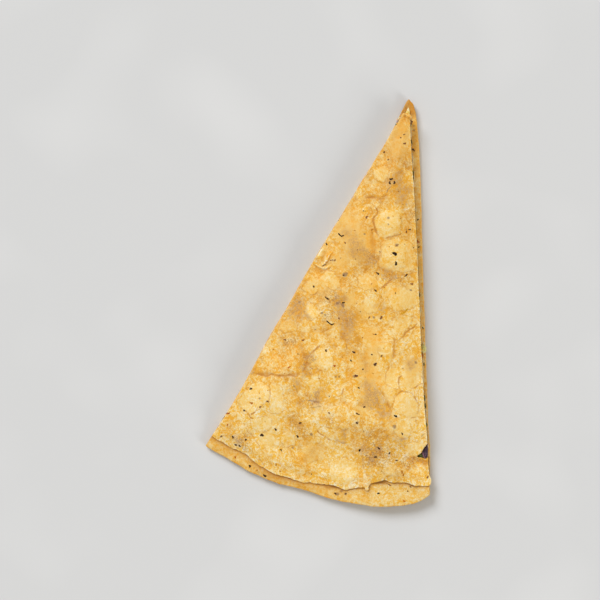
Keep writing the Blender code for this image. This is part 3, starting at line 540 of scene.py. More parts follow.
DARK_STROKES = (
    ((338.3, 233.8), (341.5, 236.7), (343.4, 235.4)), ((376.3, 272.2), (378.5, 275.0)),
    ((404.4, 276.3), (406.9, 274.6)), ((325.2, 296.8), (328.5, 299.8)),
    ((326, 320.5), (330.9, 324.3), (333.7, 323.9)), ((355.6, 412.7), (359.2, 414.0)),
)
BROWN_SPOTS = (
    (366.4, 217.5, 1.0), (380.9, 317.5, 1.15), (355.8, 375.2, 1.0), (260.3, 406.6, 0.9), (267.7, 401, 0.9),
    (403.9, 134.9, 0.7), (404.4, 144, 0.9), (400.5, 138, 0.6), (411.3, 121.5, 0.8), (411.2, 123.6, 0.7),
    (221.2, 436.6, 0.9), (338.8, 318.3, 0.8), (285.1, 339.7, 0.9), (369.0, 317.4, 0.8), (388, 160, 0.7),
    (345, 243, 0.7), (303, 340, 0.9), (411.5, 284, 1.0), (330.4, 260.4, 0.75), (334.8, 260.4, 0.75),
    (406, 232, 0.7), (427.8, 477.3, 0.9), (311.5, 474.5, 0.5), (329, 412.5, 0.8), (303.5, 340, 0.6),
)
BROWN_STROKES = (
    ((322.6, 266), (325, 264.6)), ((394.8, 246.5), (398.2, 244.8)), ((354.5, 377), (358, 375.5)),
)
RIM_STROKES = (((386.5, 484), (392, 486.3)), ((413.2, 149.4), (415, 150)))
YELLOW_SPOTS = (
    (354.5, 230.8, 0.6), (392.5, 216.7, 0.5), (391.5, 228.3, 0.5), (395.5, 203, 0.5), (388.7, 247, 0.5),
    (390.8, 254.6, 0.5), (371, 284, 0.7), (382, 280, 0.6), (408.5, 328, 0.6), (362.2, 337.5, 0.6),
    (373, 334, 0.6), (372.5, 373, 0.6), (344, 333, 0.5), (273.5, 349.5, 0.6), (284.5, 373, 0.5),
    (319, 378, 0.6), (325, 369, 0.5), (259.7, 392.8, 0.5), (268, 390, 0.5), (276, 464.8, 0.9),
    (280, 471.5, 0.7), (257, 470.5, 0.6), (378, 429, 0.9), (381.5, 431.5, 0.8), (384, 430, 0.6),
    (402, 472, 1.2), (403.5, 475, 0.9), (371.8, 230, 0.8), (372.3, 233, 0.6), (252, 403, 0.9),
    (404.8, 213.8, 0.8),
)
RED_SPOTS = (
    (334.4, 365.5, 1.1), (289.2, 366.9, 1.0), (251.4, 402.9, 1.0), (228.3, 413.4, 1.0), (227.4, 425, 0.8),
)
GREEN_STROKES = (((381.2, 278.6), (383.4, 281.6)), ((401, 313), (402.3, 314), (405, 311), (407.5, 308.5)))
GREY_STAINS = (
    (343.9, 275, 0.8), (345.8, 274.2, 0.8), (337.3, 303.4, 0.8), (332.6, 260.3, 0.5), (396.2, 245.5, 0.8),
    (388, 225, 0.5), (364.5, 234.5, 0.5), (410.5, 290, 0.5), (373.5, 317.2, 0.6), (315, 329.5, 0.5),
    (321.5, 313, 0.5), (325, 314.5, 0.5), (260, 398, 0.5), (300.2, 422.7, 0.6), (394, 426, 0.8),
    (311.5, 434, 0.7), (338.8, 376, 0.5), (292.8, 447.5, 0.5), (380.9, 317.5, 0.8), (335.5, 376.5, 0.4),
    (415.8, 362.5, 0.7), (374.8, 364, 0.8), (354, 376, 0.7), (388, 218.5, 0.7), (357, 422, 0.7),
    (343, 305, 0.7),
)
LEDGE_SPOTS = (
    (418.3, 219.3, 0.7), (419.3, 246.9, 0.6), (423.4, 328.2, 0.7), (249.7, 466.7, 1.0), (264.6, 476.3, 1.1),
    (410.7, 487.4, 0.6), (408, 491.7, 0.6), (378.6, 493.9, 0.8), (335.4, 494, 0.8), (345.7, 494.3, 0.7),
)
ORANGE_DABS = (
    (404.3, 501.3, 0.9), (276, 464.7, 0.9), (235, 457.7, 0.8), (424.5, 455, 0.5), (418.3, 241.5, 1.0),
)
# Painted shadow under the torn rim: (share, half width, photo pixels that it runs through); then stains at
# the rim, and dark spots beside the tip's ledge
DEEP_SHADE = (
    (0.55, 0.7, ((323, 485), (327, 487.5), (334, 487.5), (343, 487))),
    (0.75, 0.8, ((369, 481), (375, 482.5), (381, 483), (389, 483))),
    (0.7, 0.6, ((409, 485), (413, 486), (418, 485))), (0.35, 0.9, ((391, 483), (400, 484), (408, 485))),
    (0.3, 1.1, ((258, 470), (270, 475), (288, 480), (300, 482))),
)
RIM_STAINS = (
    (337.5, 494.5, 0.9), (346, 494, 0.6), (348, 490, 0.5), (342, 491.5, 0.7), (252, 476, 0.6),
    (414.5, 129.2, 0.5), (414.4, 125, 0.5), (414.4, 150, 0.4), (419.5, 120, 0.7), (420.3, 125, 0.7),
    (420.8, 130, 0.6),
)

# Bits in the seam beside the right-hand cut: (kind, photo pixels that it runs through, width)
SEAM_BITS = (
    ("cheese", ((411.4, 123.5), (411.7, 138)), 0.5), ("herb", ((411.2, 121.2), (411.8, 123.8)), 0.75),
    ("herb", ((411.7, 139.5), (412.2, 144.5)), 0.55), ("cheese", ((412.9, 152), (413.2, 169)), 0.45),
    ("herb", ((413.2, 170), (413.7, 178.5)), 0.5), ("cheese", ((414.4, 170.5), (414.6, 181)), 0.5),
    ("herb", ((415.0, 213), (415.3, 220)), 0.5), ("spice", ((415.1, 224), (415.3, 228.5)), 0.6),
    ("cheese", ((415.3, 229), (416.2, 237), (417.1, 246)), 0.5), ("spice", ((417.4, 240), (418.8, 243)), 0.7),
    ("cheese", ((417.4, 250), (417.9, 266)), 0.4), ("herb", ((418.0, 266), (418.2, 269)), 0.6),
    ("herb", ((419.8, 293), (420.0, 297)), 0.5), ("cheese", ((420.2, 310), (420.4, 316)), 0.6),
    ("cheese", ((422.4, 360), (423.2, 372), (424.0, 386)), 0.5), ("herb", ((424.3, 363), (424.4, 366)), 0.5),
    ("spice", ((422.4, 353.5), (422.8, 357.5)), 0.8), ("herb", ((424.8, 396), (425.1, 401)), 0.6),
    ("herb", ((425.4, 404), (425.8, 408.5)), 0.6), ("herb", ((427.0, 423.5), (427.3, 427)), 0.6),
    ("cheese", ((425.8, 410), (426.8, 422)), 0.4), ("herb", ((420.7, 364), (421.6, 364.8)), 0.5),
    ("herb", ((422.1, 367.6), (422.4, 369.2)), 0.5),
)
# Lumps that stick out beyond the left-hand cut near the tip: (kind, photo x, y, sizes)
TIP_BITS = (
    ("chicken", 398.2, 119.6, (1.5, 1.1, 1.1)), ("onion", 397.4, 121.0, (1.3, 0.8, 0.8)),
    ("cheese", 399.6, 118.2, (1.6, 1.0, 0.9)), ("herb", 396.4, 124.2, (0.8, 0.6, 0.5)),
)

# Outlines of the pieces that show by themselves, through photo pixels
ONION_OUTLINE = (
    (427.7, 443.4), (425.2, 446.6), (422.6, 449.3), (421.8, 452.2), (423.2, 456), (425, 458.4), (427.6, 457),
    (428.3, 450),
)
ONION_SKIN = ((421.6, 452.5), (425.0, 459.5))  # its pale edge
PEPPER_OUTLINE = ((418, 455.6), (419.8, 454.1), (422, 454.3), (423.6, 456.8), (422.4, 458), (420.2, 457.2))
SLIVER_OUTLINE = ((408.6, 106.8), (409.8, 110), (410, 114), (407.6, 114.6), (405.2, 114.3), (406.3, 111.2))

SLICE_EDGE_STEP = 0.16  # spacing of points
SLICE_STEP = 0.2
SLICE_SMOOTHED = 6  # rounds of smoothing of an outline
SLICE_SWELL = (0.9, 0.08, 52)
SEAM_BIT_HEIGHT = 0.9
SEAM_BIT_RISE, TIP_BIT_RISE = 0.9, 1.1  # their middles, over the bottom tortilla

# More small ones over the whole face: how many, within which photo pixels, how far in and how long
DARK_SCATTERED, BROWN_SCATTERED = 14, 22
SCATTER_ACROSS, SCATTER_DOWN = (205, 425), (115, 480)
SCATTER_FROM_CUTS, SCATTER_FROM_RIM = 4.0, 13.0
SCATTER_LENGTHS = (0.25, 0.45)

FLECK_POINTS = 9  # round the edge of a fleck
FLECK_SHARE = 1.5  # its length, of the length in the tables above
FLECK_RING = 0.62  # where its inner ring lies, of the way out
FLECK_RISES = (0.08, 0.065, -0.05, -0.3)  # its middle, inner ring, outer ring and underside, over the dough

# Places with finer detail: (photo x, y, radius in millimetres)
DETAILS = ((323, 260, 5.5), (419, 460, 4.5), (406, 119, 4.5))

# Spacings of mesh points
COARSER = 1.0
FINE = 0.36 * COARSER  # the top tortilla's upper face
MIDDLING = 0.55 * COARSER  # the bottom tortilla, near its edges
COARSE = 2.2  # hidden faces
BOTTOM_UNDERSIDE = 0.8
TOP_UNDERSIDE = (1.0, 4.0)  # spacing, and how far in from the edge it holds
FILLING_TOP = (0.8, 5.0)
EDGE_STEP = 0.42 * COARSER
SHOWN_BAND = 12.0  # how far in from an edge a hidden face may still be seen


def step(t):
    """Rises smoothly from 0 at t = 0 to 1 at t = 1."""
    t = np.clip(t, 0.0, 1.0)
    return t * t * (3.0 - 2.0 * t)


def fading(distance, reach):
    """1 at no distance, falling off smoothly over the reach."""
    return np.exp(-(distance / reach) ** 2)


def chance(column, row, seed):
    """A number from 0 to 1 for each cell of a grid, the same on every run."""
    value = np.sin(column * 127.1 + row * 311.7 + seed * 74.7) * 43758.5453
    return value - np.floor(value)


def noise(x, y, wavelength, seed):
    """Smooth gradient noise from about -1 to 1."""
    u, v = x / wavelength, y / wavelength
    column, row = np.floor(u), np.floor(v)
    s, t = u - column, v - row

    def slope_at(right, up):
        turn = chance(column + right, row + up, seed) * 2.0 * math.pi
        return np.cos(turn) * (s - right) + np.sin(turn) * (t - up)

    ease_s, ease_t = step(s), step(t)
    lower = slope_at(0, 0) * (1 - ease_s) + slope_at(1, 0) * ease_s
    upper = slope_at(0, 1) * (1 - ease_s) + slope_at(1, 1) * ease_s
    return 1.5 * (lower * (1 - ease_t) + upper * ease_t)


def noise_3d(points, wavelength, seed):
    """Noise over points in space, mixed from three planes."""
    x, y, z = points.T
    planes = ((x + 0.37 * z, y), (y - 0.41 * x, z), (z + 0.29 * y, x))
    return sum(noise(a, b, wavelength, seed + k) for k, (a, b) in enumerate(planes)) / 1.7


def fractal(x, y, wavelength, octaves, fade, seed):
    """Noise with finer noise on top, each `fade` as strong as the one before."""
    return sum(fade ** k * noise(x, y, wavelength / 2 ** k, seed + k) for k in range(octaves))


def swell(x, y, waves):
    """A gentle rise and fall, given as (wavelength, height, seed)."""
    wavelength, height, seed = waves
    return height * noise(x, y, wavelength, seed)


def blotches(x, y, waves, starts, rise):
    """1 in blotches, where the sum of waves is `rise` or more above where they start. 0 elsewhere."""
    return step((sum(swell(x, y, wave) for wave in waves) - starts) / rise)


def curve(points, spacing):
    """Points about `spacing` apart on a smooth curve through `points`, without the last one."""
    knots = [Vector(p) for p in points]
    before = knots[0] * 2 - knots[1]
    after = knots[-1] * 2 - knots[-2]
    knots = [before] + knots + [after]
    fine = []
    for a, b, c, d in zip(knots, knots[1:], knots[2:], knots[3:]):
        pieces = max(2, round((c - b).length / 0.5))
        for k in range(pieces):
            t = k / pieces
            fine.append(0.5 * (2 * b + (c - a) * t + (2 * a - 5 * b + 4 * c - d) * t ** 2
                               + (3 * b - a - 3 * c + d) * t ** 3))
    fine = np.array([*fine, knots[-2]])
    along = np.concatenate([[0.0], np.cumsum(np.linalg.norm(np.diff(fine, axis=0), axis=1))])
    count = max(1, round(along[-1] / spacing))
    wanted = np.linspace(0.0, along[-1], count + 1)[:-1]
    return np.stack([np.interp(wanted, along, fine[:, axis]) for axis in (0, 1)], axis=1)


def outline(sides, spacing):
    """A closed counter-clockwise loop from the points of its sides, listed clockwise."""
    return np.concatenate([curve(points, spacing) for points in sides])[::-1]


def outward(loop, reach=1):
    """Unit normals of a counter-clockwise loop, pointing out of it, averaged over `reach` points."""
    along = np.roll(loop, -reach, axis=0) - np.roll(loop, reach, axis=0)
    normals = np.stack([along[:, 1], -along[:, 0]], axis=1)
    return normals / np.linalg.norm(normals, axis=1)[:, None]


def ragged(loop, wander, share=1.0):
    """The loop with its points moved in and out by noise, as a torn or cut edge is."""
    size, wavelength, seed = wander
    shift = share * size * noise(loop[:, 0], loop[:, 1], wavelength, seed)
    return loop + outward(loop, 2) * shift[:, None]


def frayed(sides, wanders, where, least):
    """A ragged loop. Its finer wanders have their full size where `where` is 1, and `least` of it at 0."""
    loop = ragged(outline(sides, EDGE_STEP), wanders[0])
    share = where(loop[:, 0], loop[:, 1])
    for wander, part in zip(wanders[1:], least):
        loop = ragged(loop, wander, part + (1.0 - part) * share)
    return loop


RIM_CURVE = curve(BOTTOM_RIM, 1.0)[::-1]
TOP_RIM_CURVE = curve(TOP_RIM, 1.0)[::-1]
RIGHT_CUT_CURVE = curve(BOTTOM_RIGHT_CUT, 1.0)[::-1]


def from_rim(x, y):
    """Distance in from the bottom tortilla's rim."""
    return (y - np.interp(x, RIM_CURVE[:, 0], RIM_CURVE[:, 1])) * RIM_SLANT


def from_left_cut(x, y):
    along = Vector(TIP_LEFT) - Vector(LEFT_CORNER)
    along.normalize()
    return (x - LEFT_CORNER[0]) * along.y - (y - LEFT_CORNER[1]) * along.x


def from_right_cut(x, y):
    return np.interp(y, RIGHT_CUT_CURVE[:, 1], RIGHT_CUT_CURVE[:, 0]) - x


def from_cuts(x, y):
    """Distance in from the nearer of the two cuts."""
    return np.maximum(0.0, np.minimum(from_left_cut(x, y), from_right_cut(x, y)))


def bottom_under(x, y):
    """Underside of the bottom tortilla: flat, apart from the rim and tip that curl up."""
    grows_from, grows_to = RIM_LIFT_GROWS
    to_right = step((x - grows_from) / (grows_to - grows_from))
    rim_lift = RIM_LIFT_LEFT + (RIM_LIFT_RIGHT - RIM_LIFT_LEFT) * to_right
    at_rim = np.clip(1.0 - from_rim(x, y) / RIM_LIFT_REACH, 0.0, 1.2)
    at_tip = np.clip(1.0 - (TIP[1] - y) / TIP_LIFT_REACH, 0.0, 1.0)
    return rim_lift * at_rim ** 2 + TIP_LIFT * at_tip ** 2


def bottom_over(x, y):
    """Upper face of the bottom tortilla."""
    return bottom_under(x, y) + BOTTOM_THICKNESS + swell(x, y, BOTTOM_SWELL)


def lumps(x, y):
    """How far the pieces of filling raise what lies on them."""
    raised = sum(h * np.exp(-((x - cx) ** 2 + (y - cy) ** 2) / r ** 2) for cx, cy, r, h in LUMPS)
    return raised + sum(swell(x, y, waves) for waves in SWELLS)


def filling_depth(x, y):
    """Thickness of the filling, thin at the rim and pressed at the cuts."""
    inside = step((from_rim(x, y) - FILLING_STARTS) / (FILLING_FULL - FILLING_STARTS))
    pressed = CUT_SHARE + (1.0 - CUT_SHARE) * step(from_cuts(x, y) / CUT_SLOPE)
    return np.maximum(FILLING_EDGE, FILLING_EDGE + inside * pressed * (FILLING_THICKNESS + 1.0 + lumps(x, y)))


def filling_under(x, y):
    return bottom_over(x, y) + GAP


def filling_over(x, y):
    """Upper face of the filling, hollowed under the tear."""
    aside = ((x - HOLLOW_AT[0]) / HOLLOW_SPREAD[0]) ** 2 + ((y - HOLLOW_AT[1]) / HOLLOW_SPREAD[1]) ** 2
    hollow = HOLLOW_DEPTH * np.exp(-aside)
    return filling_under(x, y) + np.maximum(THINNEST_FILLING, filling_depth(x, y) - hollow)


def top_under(x, y):
    """Underside of the top tortilla: on the filling, then down onto the bottom tortilla's rim."""
    from_own_rim = (y - np.interp(x, TOP_RIM_CURVE[:, 0], TOP_RIM_CURVE[:, 1])) * RIM_SLANT
    share = step((from_rim(x, y) - TOP_LIES_DOWN) / (FILLING_STARTS - TOP_LIES_DOWN))
    share = share * step((from_own_rim + 1.0) / TOP_LIFTS_OFF)
    loose_edge = swell(x, y, LOOSE_SWELL) + 0.5 * spots(x, y, LIFTED)
    on_filling = filling_depth(x, y) + GAP + SLACK
    return bottom_over(x, y) + CLING + share * (GAP - CLING + on_filling) + (1.0 - share) * loose_edge


def top_over(x, y):
    return top_under(x, y) + TOP_THICKNESS + swell(x, y, TOP_SWELL) - LOWERED


def place(px, py):
    """The millimetres in the frame of a pixel of the photograph."""
    return (px - PHOTO_ORIGIN[0]) * PIXEL, (PHOTO_ORIGIN[1] - py) * PIXEL


def placed(pixels):
    """The same for all the points of a line or outline."""
    return np.array([place(px, py) for px, py in pixels])


def wobbled(x, y, *wanders):
    """Places moved about by noise of each (size, wavelength, seed), which frays what is drawn with them."""
    for size, wavelength, seed in wanders:
        x, y = x + size * noise(x, y, wavelength, seed), y + size * noise(x, y, wavelength, seed + 1)
    return x, y


def near_box(x, y, corners, margin):
    """Which places lie in the box around `corners`, with a margin."""
    low, high = corners.min(axis=0) - margin, corners.max(axis=0) + margin
    return (x > low[0]) & (x < high[0]) & (y > low[1]) & (y < high[1])


def beside(x, y, start, end):
    """How far along a straight line each place is, from 0 to 1, and how far away from it."""
    (ax, ay), (bx, by) = start, end
    dx, dy = bx - ax, by - ay
    t = np.clip(((x - ax) * dx + (y - ay) * dy) / max(dx * dx + dy * dy, 1e-9), 0.0, 1.0)
    return t, np.hypot(x - ax - t * dx, y - ay - t * dy)


def line_mark(x, y, half_width, pixels):
    """1 on a line through photo pixels, falling off beside it and at its ends."""
    knots = placed(pixels)
    corners = np.concatenate([curve(knots, LINE_STEP), knots[-1:]])
    mark = np.zeros(np.shape(x))
    close = near_box(x, y, corners, 3.0 * half_width + 0.6)
    if not close.any():
        return mark
    cx, cy = wobbled(x[close], y[close], *LINE_FRAY)
    nearest = np.full(np.shape(cx), np.inf)
    share = np.zeros(np.shape(cx))
    for k, (start, end) in enumerate(zip(corners, corners[1:])):
        t, away = beside(cx, cy, start, end)
        closer = away < nearest
        nearest[closer] = away[closer]
        share[closer] = (k + t[closer]) / (len(corners) - 1)
    fade = step(share / LINE_ENDS) * step((1.0 - share) / LINE_ENDS)
    mark[close] = fading(nearest, half_width) * (LINE_END_LEFT + (1.0 - LINE_END_LEFT) * fade)
    return mark


def line_marks(x, y, lines):
    """The sum of the marks of (share, half width, photo pixels) lines."""
    return sum(share * line_mark(x, y, half_width, pixels) for share, half_width, pixels in lines)


def depth_in(x, y, pixels):
    """Distance in from an outline with its corners at photo pixels; below 0 outside it."""
    corners = placed(pixels)
    depth = np.full(np.shape(x), -9.0)
    close = near_box(x, y, corners, 2.0)
    if not close.any():
        return depth
    cx, cy = wobbled(x[close], y[close], *PLATE_FRAY)
    inside = np.zeros(np.shape(cx), bool)
    nearest = np.full(np.shape(cx), np.inf)
    for start, end in zip(corners, np.roll(corners, -1, axis=0)):
        nearest = np.minimum(nearest, beside(cx, cy, start, end)[1])
        (ax, ay), (bx, by) = start, end
        if ay != by:
            inside ^= ((ay > cy) != (by > cy)) & (cx < ax + (cy - ay) * (bx - ax) / (by - ay))
    depth[close] = np.where(inside, nearest, -nearest)
    return depth


def plates(x, y):
    """How pale the traced plates make each place, how far they raise it, and their amber borders."""
    pale, raised, border = np.zeros((3, *np.shape(x)))
    here = step((noise(x, y, *PLATE_BREAKS) + 0.5) / 0.5)
    for share, pixels in PLATES:
        depth = depth_in(x, y, pixels)
        inside = step(depth / (PLATE_EDGE + PLATE_FADE * (1.0 - here)) + 0.5)
        pale = pale * (1.0 - inside) + share * inside * (0.65 + 0.3 * here)
        raised = np.maximum(raised, inside * (share > 0))
        border = np.maximum(border, (0.15 + 0.85 * here) * fading(depth + 0.2, RIM_OF_PLATE))
    return pale, raised, border


def cells(x, y, size, seed):
    """Irregular cells about `size` across: each one's own value from -1 to 1, and distance to its border."""
    u, v = x / size, y / size
    column, row = np.floor(u), np.floor(v)
    nearest, second = np.full(np.shape(u), 9.0), np.full(np.shape(u), 9.0)
    own = np.zeros(np.shape(u))
    for across in (-1, 0, 1):
        for up in (-1, 0, 1):
            a, b = column + across, row + up
            right, above, value = (chance(a, b, seed + 5 * k) for k in range(3))
            away = np.hypot(a + right - u, b + above - v)
            second = np.minimum(second, np.maximum(away, nearest))
            own = np.where(away < nearest, 2.0 * value - 1.0, own)
            nearest = np.minimum(nearest, away)
    return own, (second - nearest) * size / 2


def mosaic(x, y):
    """Small flakes of baked dough all over: how pale each is, and the thin broken lines between them."""
    wx, wy = wobbled(x, y, *MOSAIC_FRAY)
    pale, lines = np.zeros((2, *np.shape(x)))
    for size, share, seed in MOSAIC:
        own, border = cells(wx, wy, size, seed)
        pale += share * own
        broken = step((noise(x, y, 1.4 * size, seed + 3) - 0.05) / 0.25)
        lines = np.maximum(lines, broken * fading(border, MOSAIC_LINE))
    return pale, lines


def spots(x, y, places):
    """Soft spots of 1 at (photo x, y, radius) places."""
    total = np.zeros(np.shape(x))
    for px, py, radius in places:
        cx, cy = place(px, py)
        total = total + np.exp(-((x - cx) ** 2 + (y - cy) ** 2) / radius ** 2)
    return total


def smoothness(x, y):
    """1 where the face is smooth, 0 where it is grainy."""
    return np.clip(1.2 * spots(*wobbled(x, y, SMOOTH_FRAY), SMOOTH), 0.0, 1.0)


def top_relief(x, y):
    """The relief of the top tortilla's upper face, its crease marks with their painted shade, how pale it is,
    and where plates lie.
    """
    relief = np.zeros(np.shape(x))
    marks = np.zeros(np.shape(x))
    strength = 0.55 + 0.45 * step(0.5 + 1.2 * noise(x, y, *CREASE_BREAKS))
    for depth, half_width, pixels in CREASES + VALLEYS:
        groove = line_mark(x, y, half_width * GROOVE_WIDTH, pixels) * strength
        shoulder = line_mark(x, y, half_width * SHOULDER_WIDTH, pixels)
        relief -= depth * (groove - CREASE_SHOULDER * shoulder)
        # Darker in the groove: browner dough and painted shade; wider valleys get less of it
        marks = np.maximum(marks, groove * depth / 0.3 * (1.0 if half_width < 0.6 else 0.55))
    for height, half_width, pixels in FOLDS:
        relief += height * line_mark(x, y, half_width, pixels)
    for depth, half_width, pixels in FOLD_DIPS:
        dip = line_mark(x, y, half_width, pixels)
        relief -= depth * dip
        # Painted shade in the narrow dips beside the folds
        marks = np.maximum(marks, 1.3 * depth * dip * (half_width < 0.5))
    bx, by = wobbled(x, y, BLISTER_FRAY)
    for px, py, radius, height in BLISTERS:
        cx, cy = place(px, py)
        away = np.hypot(bx - cx, by - cy) / radius
        relief += height * np.sqrt(np.clip(1.0 - away ** 2, 0.0, 1.0))
    for px, py, radius, depth in SAGS:
        relief -= depth * spots(bx, by, [(px, py, radius)])
    pale, raised, border = plates(x, y)
    flakes, lines = mosaic(x, y)
    grainy = (1.0 - 0.8 * smoothness(x, y)) * (1.0 - 0.5 * raised)
    flakes, lines = grainy * flakes, grainy * lines
    relief += PLATE_HEIGHT * (raised + 0.8 * flakes) - 0.08 * lines
    for wavelength, height, seed in TOP_GRAIN:
        relief += height * grainy * noise(x, y, wavelength, seed)
    marks = np.maximum(marks, np.maximum(0.5 * lines, 0.62 * border))
    return relief, marks, pale + 0.85 * flakes, raised


def torn(x, y):
    """1 where the top tortilla is torn: at its rim, tear and tip. 0 on the clean cuts."""
    rim = step((TORN_RIM - from_rim(x, y)) / 2.0)
    tear = np.exp(-((x - TEAR_AT[0]) / TEAR_SPREAD[0]) ** 2 - ((y - TEAR_AT[1]) / TEAR_SPREAD[1]) ** 2)
    tip = step((y - TORN_TIP) / 1.5)
    return np.clip(rim + tear + tip, 0.0, 1.0)


def away_from(points, loop):
    """Distance from each point to the nearest point of the loop."""
    tree = KDTree(len(loop))
    for k, (x, y) in enumerate(loop):
        tree.insert((x, y, 0.0), k)
    tree.balance()
    return np.array([tree.find((x, y, 0.0))[2] for x, y in points])


def lattice(loop, spacing):
    """Points of a triangular lattice inside the loop."""
    start, end = loop, np.roll(loop, -1, axis=0)
    row_height = spacing * math.sqrt(0.75)
    rows = range(math.floor(loop[:, 1].min() / row_height), math.ceil(loop[:, 1].max() / row_height) + 1)
    points = []
    for row in rows:
        y = row * row_height
        offset = 0.5 * spacing * (row % 2)
        crosses = (start[:, 1] > y) != (end[:, 1] > y)
        a, b = start[crosses], end[crosses]
        walls = np.sort(a[:, 0] + (y - a[:, 1]) * (b[:, 0] - a[:, 0]) / (b[:, 1] - a[:, 1]))
        for left, right in zip(walls[::2], walls[1::2]):
            first, last = math.ceil((left - offset) / spacing), math.floor((right - offset) / spacing)
            columns = np.arange(first, last + 1)
            points.append(np.column_stack([columns * spacing + offset, np.full(len(columns), y)]))
    points = np.concatenate(points)
    return points[away_from(points, loop) > math.hypot(0.5 * spacing, 0.5 * EDGE_STEP)]


def graded_lattice(loop, spacing, band):
    """A fine lattice within `band` of the loop, and a coarse one further in."""
    fine, coarse = lattice(loop, spacing), lattice(loop, COARSE)
    fine = fine[away_from(fine, loop) < band]
    coarse = coarse[away_from(coarse, loop) > band + 0.6 * spacing]
    return np.concatenate([fine, coarse])


def detailed_lattice(loop, spacing):
    """A fine lattice, with a finer one still in the places of DETAILS."""

    def detailed(points):
        near = [[math.dist(p, place(px, py)) < radius for px, py, radius in DETAILS] for p in points]
        return np.any(near, axis=1)

    points, extra = lattice(loop, spacing), lattice(loop, 0.5 * spacing)
    return np.concatenate([points[~detailed(points)], extra[detailed(extra)]])


def flat_triangles(loop, inner):
    """Triangles over the loop's area, as indices into the loop's points and then the inner ones."""
    points = [Vector(p) for p in np.concatenate([loop, inner])]
    made = delaunay_2d_cdt(points, [], [list(range(len(loop)))], 1, 1e-6)
    assert len(made[0]) == len(points), "the outline crosses itself"
    origins = [o[0] for o in made[3]]
    return np.array([[origins[corner] for corner in face] for face in made[2]])


# A slab's edge from its lower face to its upper one: (share of the height, share of the rounding inwards)
WALL = (
    (0.0, 1.0), (0.05, 0.45), (0.16, 0.1), (0.34, 0.0), (0.5, 0.08), (0.66, 0.0), (0.82, 0.12), (0.94, 0.45),
    (1.0, 1.0),
)


def slab(loop, under, over, inner_under, inner_over, rough, rounding=EDGE_ROUND):
    """Vertices, triangles and edge marks of a closed thin solid. `rough` gives the edge's crumb."""
    count = len(loop)
    normals = outward(loop, 3)
    edge = loop - normals * rounding
    low, high = under(edge[:, 0], edge[:, 1]), over(edge[:, 0], edge[:, 1])
    vertices, marks = [], []
    for share, inset in WALL:
        ring = loop - normals * (rounding * inset)
        height = low + (high - low) * share
        middle = math.sin(math.pi * share)
        if 0.0 < share < 1.0:
            in_space = np.column_stack([ring, height * 1.6])
            push = rough * middle * (0.6 * noise_3d(in_space, 1.1, 81) + 0.4 * noise_3d(in_space, 2.3, 84))
            ring = ring + normals * push[:, None]
        vertices.append(np.column_stack([ring, height]))
        marks.append(np.full(count, middle))
    triangles = []
    turn = np.arange(count)
    following = (turn + 1) % count
    for level in range(len(WALL) - 1):
        a, b = level * count + turn, level * count + following
        c, d = b + count, a + count
        triangles += [np.column_stack([a, b, c]), np.column_stack([a, c, d])]
    total = count * len(WALL)
    for inner, surface, ring_start, flip in (
        (inner_under, under, 0, True), (inner_over, over, count * (len(WALL) - 1), False),
    ):
        faces = flat_triangles(edge, inner)
        on_ring = faces < count
        faces = np.where(on_ring, faces + ring_start, faces - count + total)
        triangles.append(faces[:, ::-1] if flip else faces)
        vertices.append(np.column_stack([inner, surface(inner[:, 0], inner[:, 1])]))
        marks.append(np.zeros(len(inner)))
        total += len(inner)
    return np.concatenate(vertices), np.concatenate(triangles), np.concatenate(marks)


def in_scene(name, data):
    """A new object in the scene."""
    made = bpy.data.objects.new(name, data)
    bpy.context.scene.collection.objects.link(made)
    return made


def mesh_object(name, vertices, triangles, marks, material):
    """An object from vertices in millimetres, with named per-vertex values for its material."""
    data = bpy.data.meshes.new(name)
    data.from_pydata((vertices * MM).tolist(), [], triangles.tolist())
    for mark, values in marks.items():
        layer = data.attributes.new(mark, "FLOAT", "POINT")
        layer.data.foreach_set("value", np.asarray(values, np.float32))
    data.shade_smooth()
    data.materials.append(material)
    return in_scene(name, data)


def ball(detail):
    """Vertices and triangles of a sphere of diameter 1."""
    mesh = bmesh.new()
    bmesh.ops.create_icosphere(mesh, subdivisions=detail, radius=0.5)
    vertices = np.array([v.co for v in mesh.verts])
    triangles = np.array([[v.index for v in face.verts] for face in mesh.faces])
    mesh.free()
    return vertices, triangles


def turned(vertices, heading, tilt=0.0, roll=0.0):
    """Vertices rolled about X, tilted about Y and then turned about Z, in radians."""
    vertices = vertices.copy()
    for angle, (a, b) in ((roll, (1, 2)), (tilt, (2, 0)), (heading, (0, 1))):
        c, s = math.cos(angle), math.sin(angle)
        first, second = vertices[:, a].copy(), vertices[:, b].copy()
        vertices[:, a], vertices[:, b] = first * c - second * s, first * s + second * c
    return vertices


def joined(name, solids, material):
    """One object from many (vertices, triangles, shade) solids; `shade` varies their colour."""
    vertices, triangles, shades = [], [], []
    total = 0
    for points, faces, shade in solids:
        vertices.append(points)
        triangles.append(faces + total)
        shades.append(np.full(len(points), shade))
        total += len(points)
    marks = {"shade": np.concatenate(shades)}
    return mesh_object(name, np.concatenate(vertices), np.concatenate(triangles), marks, material)


def tone(red, green, blue):
    """A linear colour from 0 to 255 screen values."""
    return tuple(((v / 255 + 0.055) / 1.055) ** 2.4 for v in (red, green, blue))


